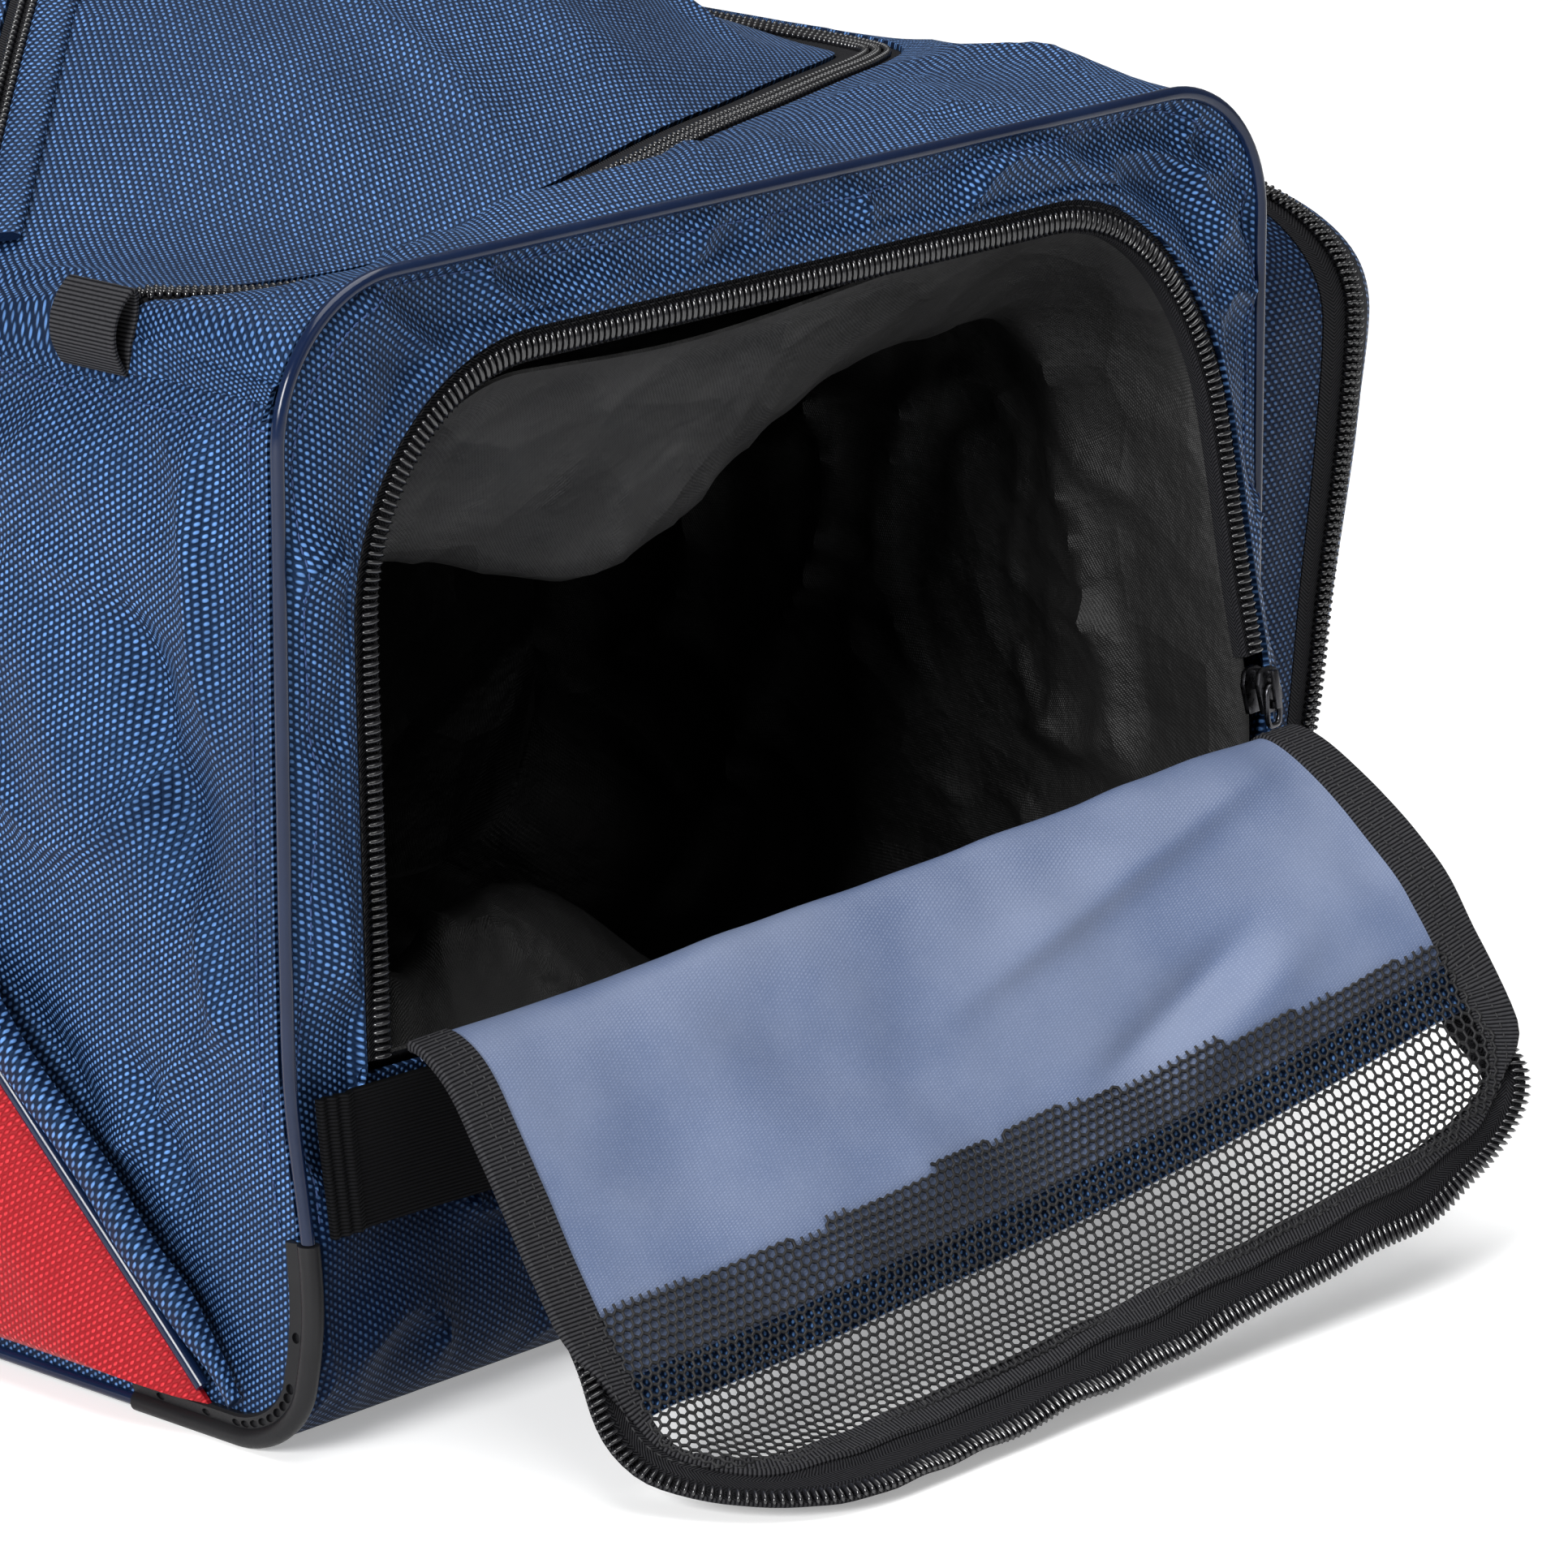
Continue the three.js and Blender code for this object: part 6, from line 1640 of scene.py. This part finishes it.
def makeLeftAccent():
    form = accentForm
    top = form["floor"] + form["height"]
    far = body["length"] - form["start"]
    corners = np.array([(form["start"], form["floor"]), (form["start"] + form["height"], top),
                        (far - form["height"], top), (far, form["floor"])], float)
    outline = []
    for k, count in enumerate((40, 100, 40, 130)):
        share = (np.arange(count) / count)[:, None]
        outline.append(corners[k] * (1 - share) + corners[(k + 1) % 4] * share)
    outline = np.concatenate(outline)
    middle = np.array([body["length"] / 2, form["floor"] + form["height"] * 0.48])
    shares = np.r_[np.linspace(1, 0.86, 18), np.linspace(0.86, 0.02, 22)[1:]][:, None]
    y = middle[0] + (outline[:, 0] - middle[0]) * shares
    z = middle[1] + (outline[:, 1] - middle[1]) * shares
    lift = lookUp(accentRise, "share", np.broadcast_to(shares, y.shape), "lift")
    flat = np.stack([y * 0, y, z], axis=-1)
    lift = lift + smoothStep(1, 0.85, shares) * (waves(flat, form["fold"]) + waves(flat, form["crumple"]))
    grid = accentPoint(y, z, lift)
    inward = np.zeros_like(grid)
    inward[..., 0] = 1
    uv = np.stack([y, z], axis=-1) * mm
    piece = sheetPiece(
        "leftAccentPanel", grid, form["thick"], [redWeave], uv, loop=True, closeEnd=True, toward=inward)
    standIn(piece, ["left_accent_panel"])

    def edgeLine(out, lift, further=0.0):
        slant, turn = out * math.sqrt(0.5), out * math.tan(math.pi / 8)
        start = corners[0] + (3 - slant - further, 3 + slant - further)
        shoulder = corners[1] + (-turn, out)
        rise = np.linspace(0, 1, 40)[:, None]
        run = np.linspace(0, 1, 90)[1:, None]
        line = np.concatenate([start * (1 - rise) + shoulder * rise,
                               shoulder * (1 - run) + (body["length"] / 2, shoulder[1]) * run])
        back = line[-2::-1] * (-1, 1) + (body["length"], 0)
        line = np.concatenate([line, back])
        place = accentPoint(line[:, 0], line[:, 1], lift)
        ahead = unit(np.gradient(line, axis=0))
        across = np.stack([ahead[:, 0] * 0, -ahead[:, 1], ahead[:, 0]], axis=-1)
        return place, across, np.tile([-1.0, 0, 0], (len(line), 1))

    cordOut = form["cord"] + 0.8
    rings = carried(*edgeLine(cordOut, cordOut), roundSection(form["cord"], 12))
    cord = stripPiece("leftAccentPiping", rings, [navyPiping], sharp=60)
    standIn(cord, ["left_accent_piping"])
    stripOut = 2 * form["cord"] + 6.6
    section = [(-5, -4), (5, -4), (5, 0.6), (4, 1.8), (1, 2.2), (-3, 1.6), (-5, 0.4)]
    place, across, up = edgeLine(stripOut, 4.0, 7.0)
    sway, rise = waves(place, form["edgeSway"])[:, None], waves(place, form["edgeLift"])[:, None]
    place = place + across * sway + up * rise
    fromEnd = np.minimum(np.arange(len(place)), np.arange(len(place))[::-1])
    taper = (0.45 + 0.55 * smoothStep(0, 9, fromEnd))[:, None]
    rings = carried(place, across * taper, up * taper, section)
    standIn(stripPiece("leftAccentEdge", rings, [navyWeave], sharp=45), ["left_accent_edge"])


# Wheels at the far end, plain
wheelForm = {"x": 155, "y": 846, "z": 40.8, "radius": 40, "width": 26, "hub": 29, "axle": 4, "axleLong": 56}
wheelSteps = 64


def lathe(name, profile, side, material, sharp=35):
    # profile: distance from the axle and place along it
    angle = 2 * math.pi * np.arange(wheelSteps) / wheelSteps
    radius, along = np.asarray(profile, float).T
    middle = np.array([side * wheelForm["x"], wheelForm["y"], wheelForm["z"]])
    rings = np.stack([np.broadcast_to(along, (wheelSteps, len(radius))), np.outer(np.cos(angle), radius),
                      np.outer(np.sin(angle), radius)], axis=-1) + middle
    return stripPiece(name, rings, [material], loop=True, sharp=sharp)


def mirrored(profile):
    return [(radius, -along) for radius, along in profile]


def makeWheels():
    form = wheelForm
    half, long, radius = form["width"] / 2, form["axleLong"] / 2, form["radius"]
    hub, axle = form["hub"], form["axle"]
    bore = axle + 0.1
    for hand, side in (("Left", -1), ("Right", 1)):
        low = hand.lower()
        groove = [(radius, -4), (radius - 0.9, -3.4), (radius - 0.9, -2.6), (radius, -2), (radius, 2),
                  (radius - 0.9, 2.6), (radius - 0.9, 3.4), (radius, 4)]
        tread = [(hub + 0.4, half), (radius - 4, half), (radius - 2, half - 1.6), (radius - 0.7, half - 4)]
        tyre = lathe(f"wheelTyre{hand}", [*mirrored(tread), *groove, *tread[::-1]], side, guardRubber)
        standIn(tyre, [f"wheel_tyre_{low}"], f"wheel_{low}")
        disc = [(bore, half + 1), (9.4, half + 1), (10, half + 0.4), (11, half - 5), (hub - 5, half - 5),
                (hub - 0.6, half - 1), (hub, half - 1.6)]
        wheel = lathe(f"wheelHub{hand}", [*mirrored(disc), *disc[::-1]], side, hubPlastic)
        standIn(wheel, [f"wheel_hub_{low}"], f"wheel_{low}")
        rod = [(0.4, long), (axle - 0.6, long), (axle, long - 0.6)]
        pin = lathe(f"wheelAxle{hand}", [*mirrored(rod), *rod[::-1]], side, axleSteel)
        standIn(pin, [f"wheel_axle_{low}"])
        housing = easedNode(f"wheelHousing{hand}", f"wheel_housing_{low}", guardRubber)
        standIn(housing, [f"wheel_housing_{low}"])


def easedNode(name, node, material):
    # a CAD piece's own form with eased edges
    made = bmesh.new()
    made.from_mesh(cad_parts[node].data)
    bmesh.ops.remove_doubles(made, verts=made.verts, dist=1e-5)
    bmesh.ops.dissolve_limit(made, angle_limit=math.radians(2), verts=made.verts, edges=made.edges)
    sharpEdges = [edge for edge in made.edges if edge.calc_face_angle(0) > math.radians(40)]
    bmesh.ops.bevel(made, geom=sharpEdges, offset=1.2 * mm, segments=2, affect="EDGES", profile=0.5,
                    clamp_overlap=True)
    return plainMesh(name, made, material)


def finishBase():
    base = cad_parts["base_panel"]
    base.data.materials.clear()
    base.data.materials.append(guardRubber)


makeSlider()
makeZipLoop()
makeGusset()
makePocketZip()
makePocketFace()
makeLeftAccent()
makeWheels()
finishBase()
print("slider, loop, side pocket, accent and wheels made")


# Studio: pale floor, soft light and the photograph's camera
def makeFloor():
    mesh = bpy.data.meshes.new("floor")
    reach = 12
    corners = [(-reach, -reach, 0), (reach, -reach, 0), (reach, reach, 0), (-reach, reach, 0)]
    mesh.from_pydata(corners, [], [(0, 1, 2, 3)])
    pale, _, _ = openMaterial("paleFloor", **{
        "Base Color": (0.8, 0.8, 0.8, 1), "Roughness": 0.9, "Specular IOR Level": 0.1,
        "Emission Strength": 0.32, "Emission Color": (1, 1, 1, 1)})
    mesh.materials.append(pale)
    inScene("floor", mesh)


def addLamp(name, place, size, power, aim):
    lamp = bpy.data.lights.new(name, "AREA")
    lamp.shape, lamp.size, lamp.size_y, lamp.energy = "RECTANGLE", size[0], size[1], power
    aimed(inScene(name, lamp), place, aim)


def aimed(holder, place, aim):
    holder.location = place
    holder.rotation_euler = (Vector(aim) - Vector(place)).to_track_quat("-Z", "Y").to_euler()


cameraForm = {
    "aim": (-0.0058, -0.4, 0.1495), "place": (-1.6757, -1.9463, 0.8107), "lens": 193.7, "sensor": 36.0,
}


def makeStudio():
    makeFloor()
    world = bpy.data.worlds.new("studio")
    world.use_nodes = True
    backdrop = world.node_tree.nodes["Background"]
    backdrop.inputs["Color"].default_value = (1, 1, 1, 1)
    backdrop.inputs["Strength"].default_value = 0.18
    bpy.context.scene.world = world
    bpy.context.scene.view_settings.view_transform = "Standard"
    middle = (0, -0.35, 0.15)
    addLamp("overhead", (0.2, -0.4, 2.8), (2.6, 2.6), 100, middle)
    addLamp("left", (-2.7, -0.95, 1.35), (1.0, 1.0), 112, middle)
    addLamp("front", (0.2, -3.2, 1.6), (1.8, 1.8), 5, middle)
    camera = bpy.data.cameras.new("camera")
    camera.lens, camera.sensor_width = cameraForm["lens"], cameraForm["sensor"]
    camera.sensor_fit = "HORIZONTAL"
    holder = inScene("camera", camera)
    aimed(holder, cameraForm["place"], cameraForm["aim"])
    bpy.context.scene.camera = holder


makeStudio()
print("studio made")
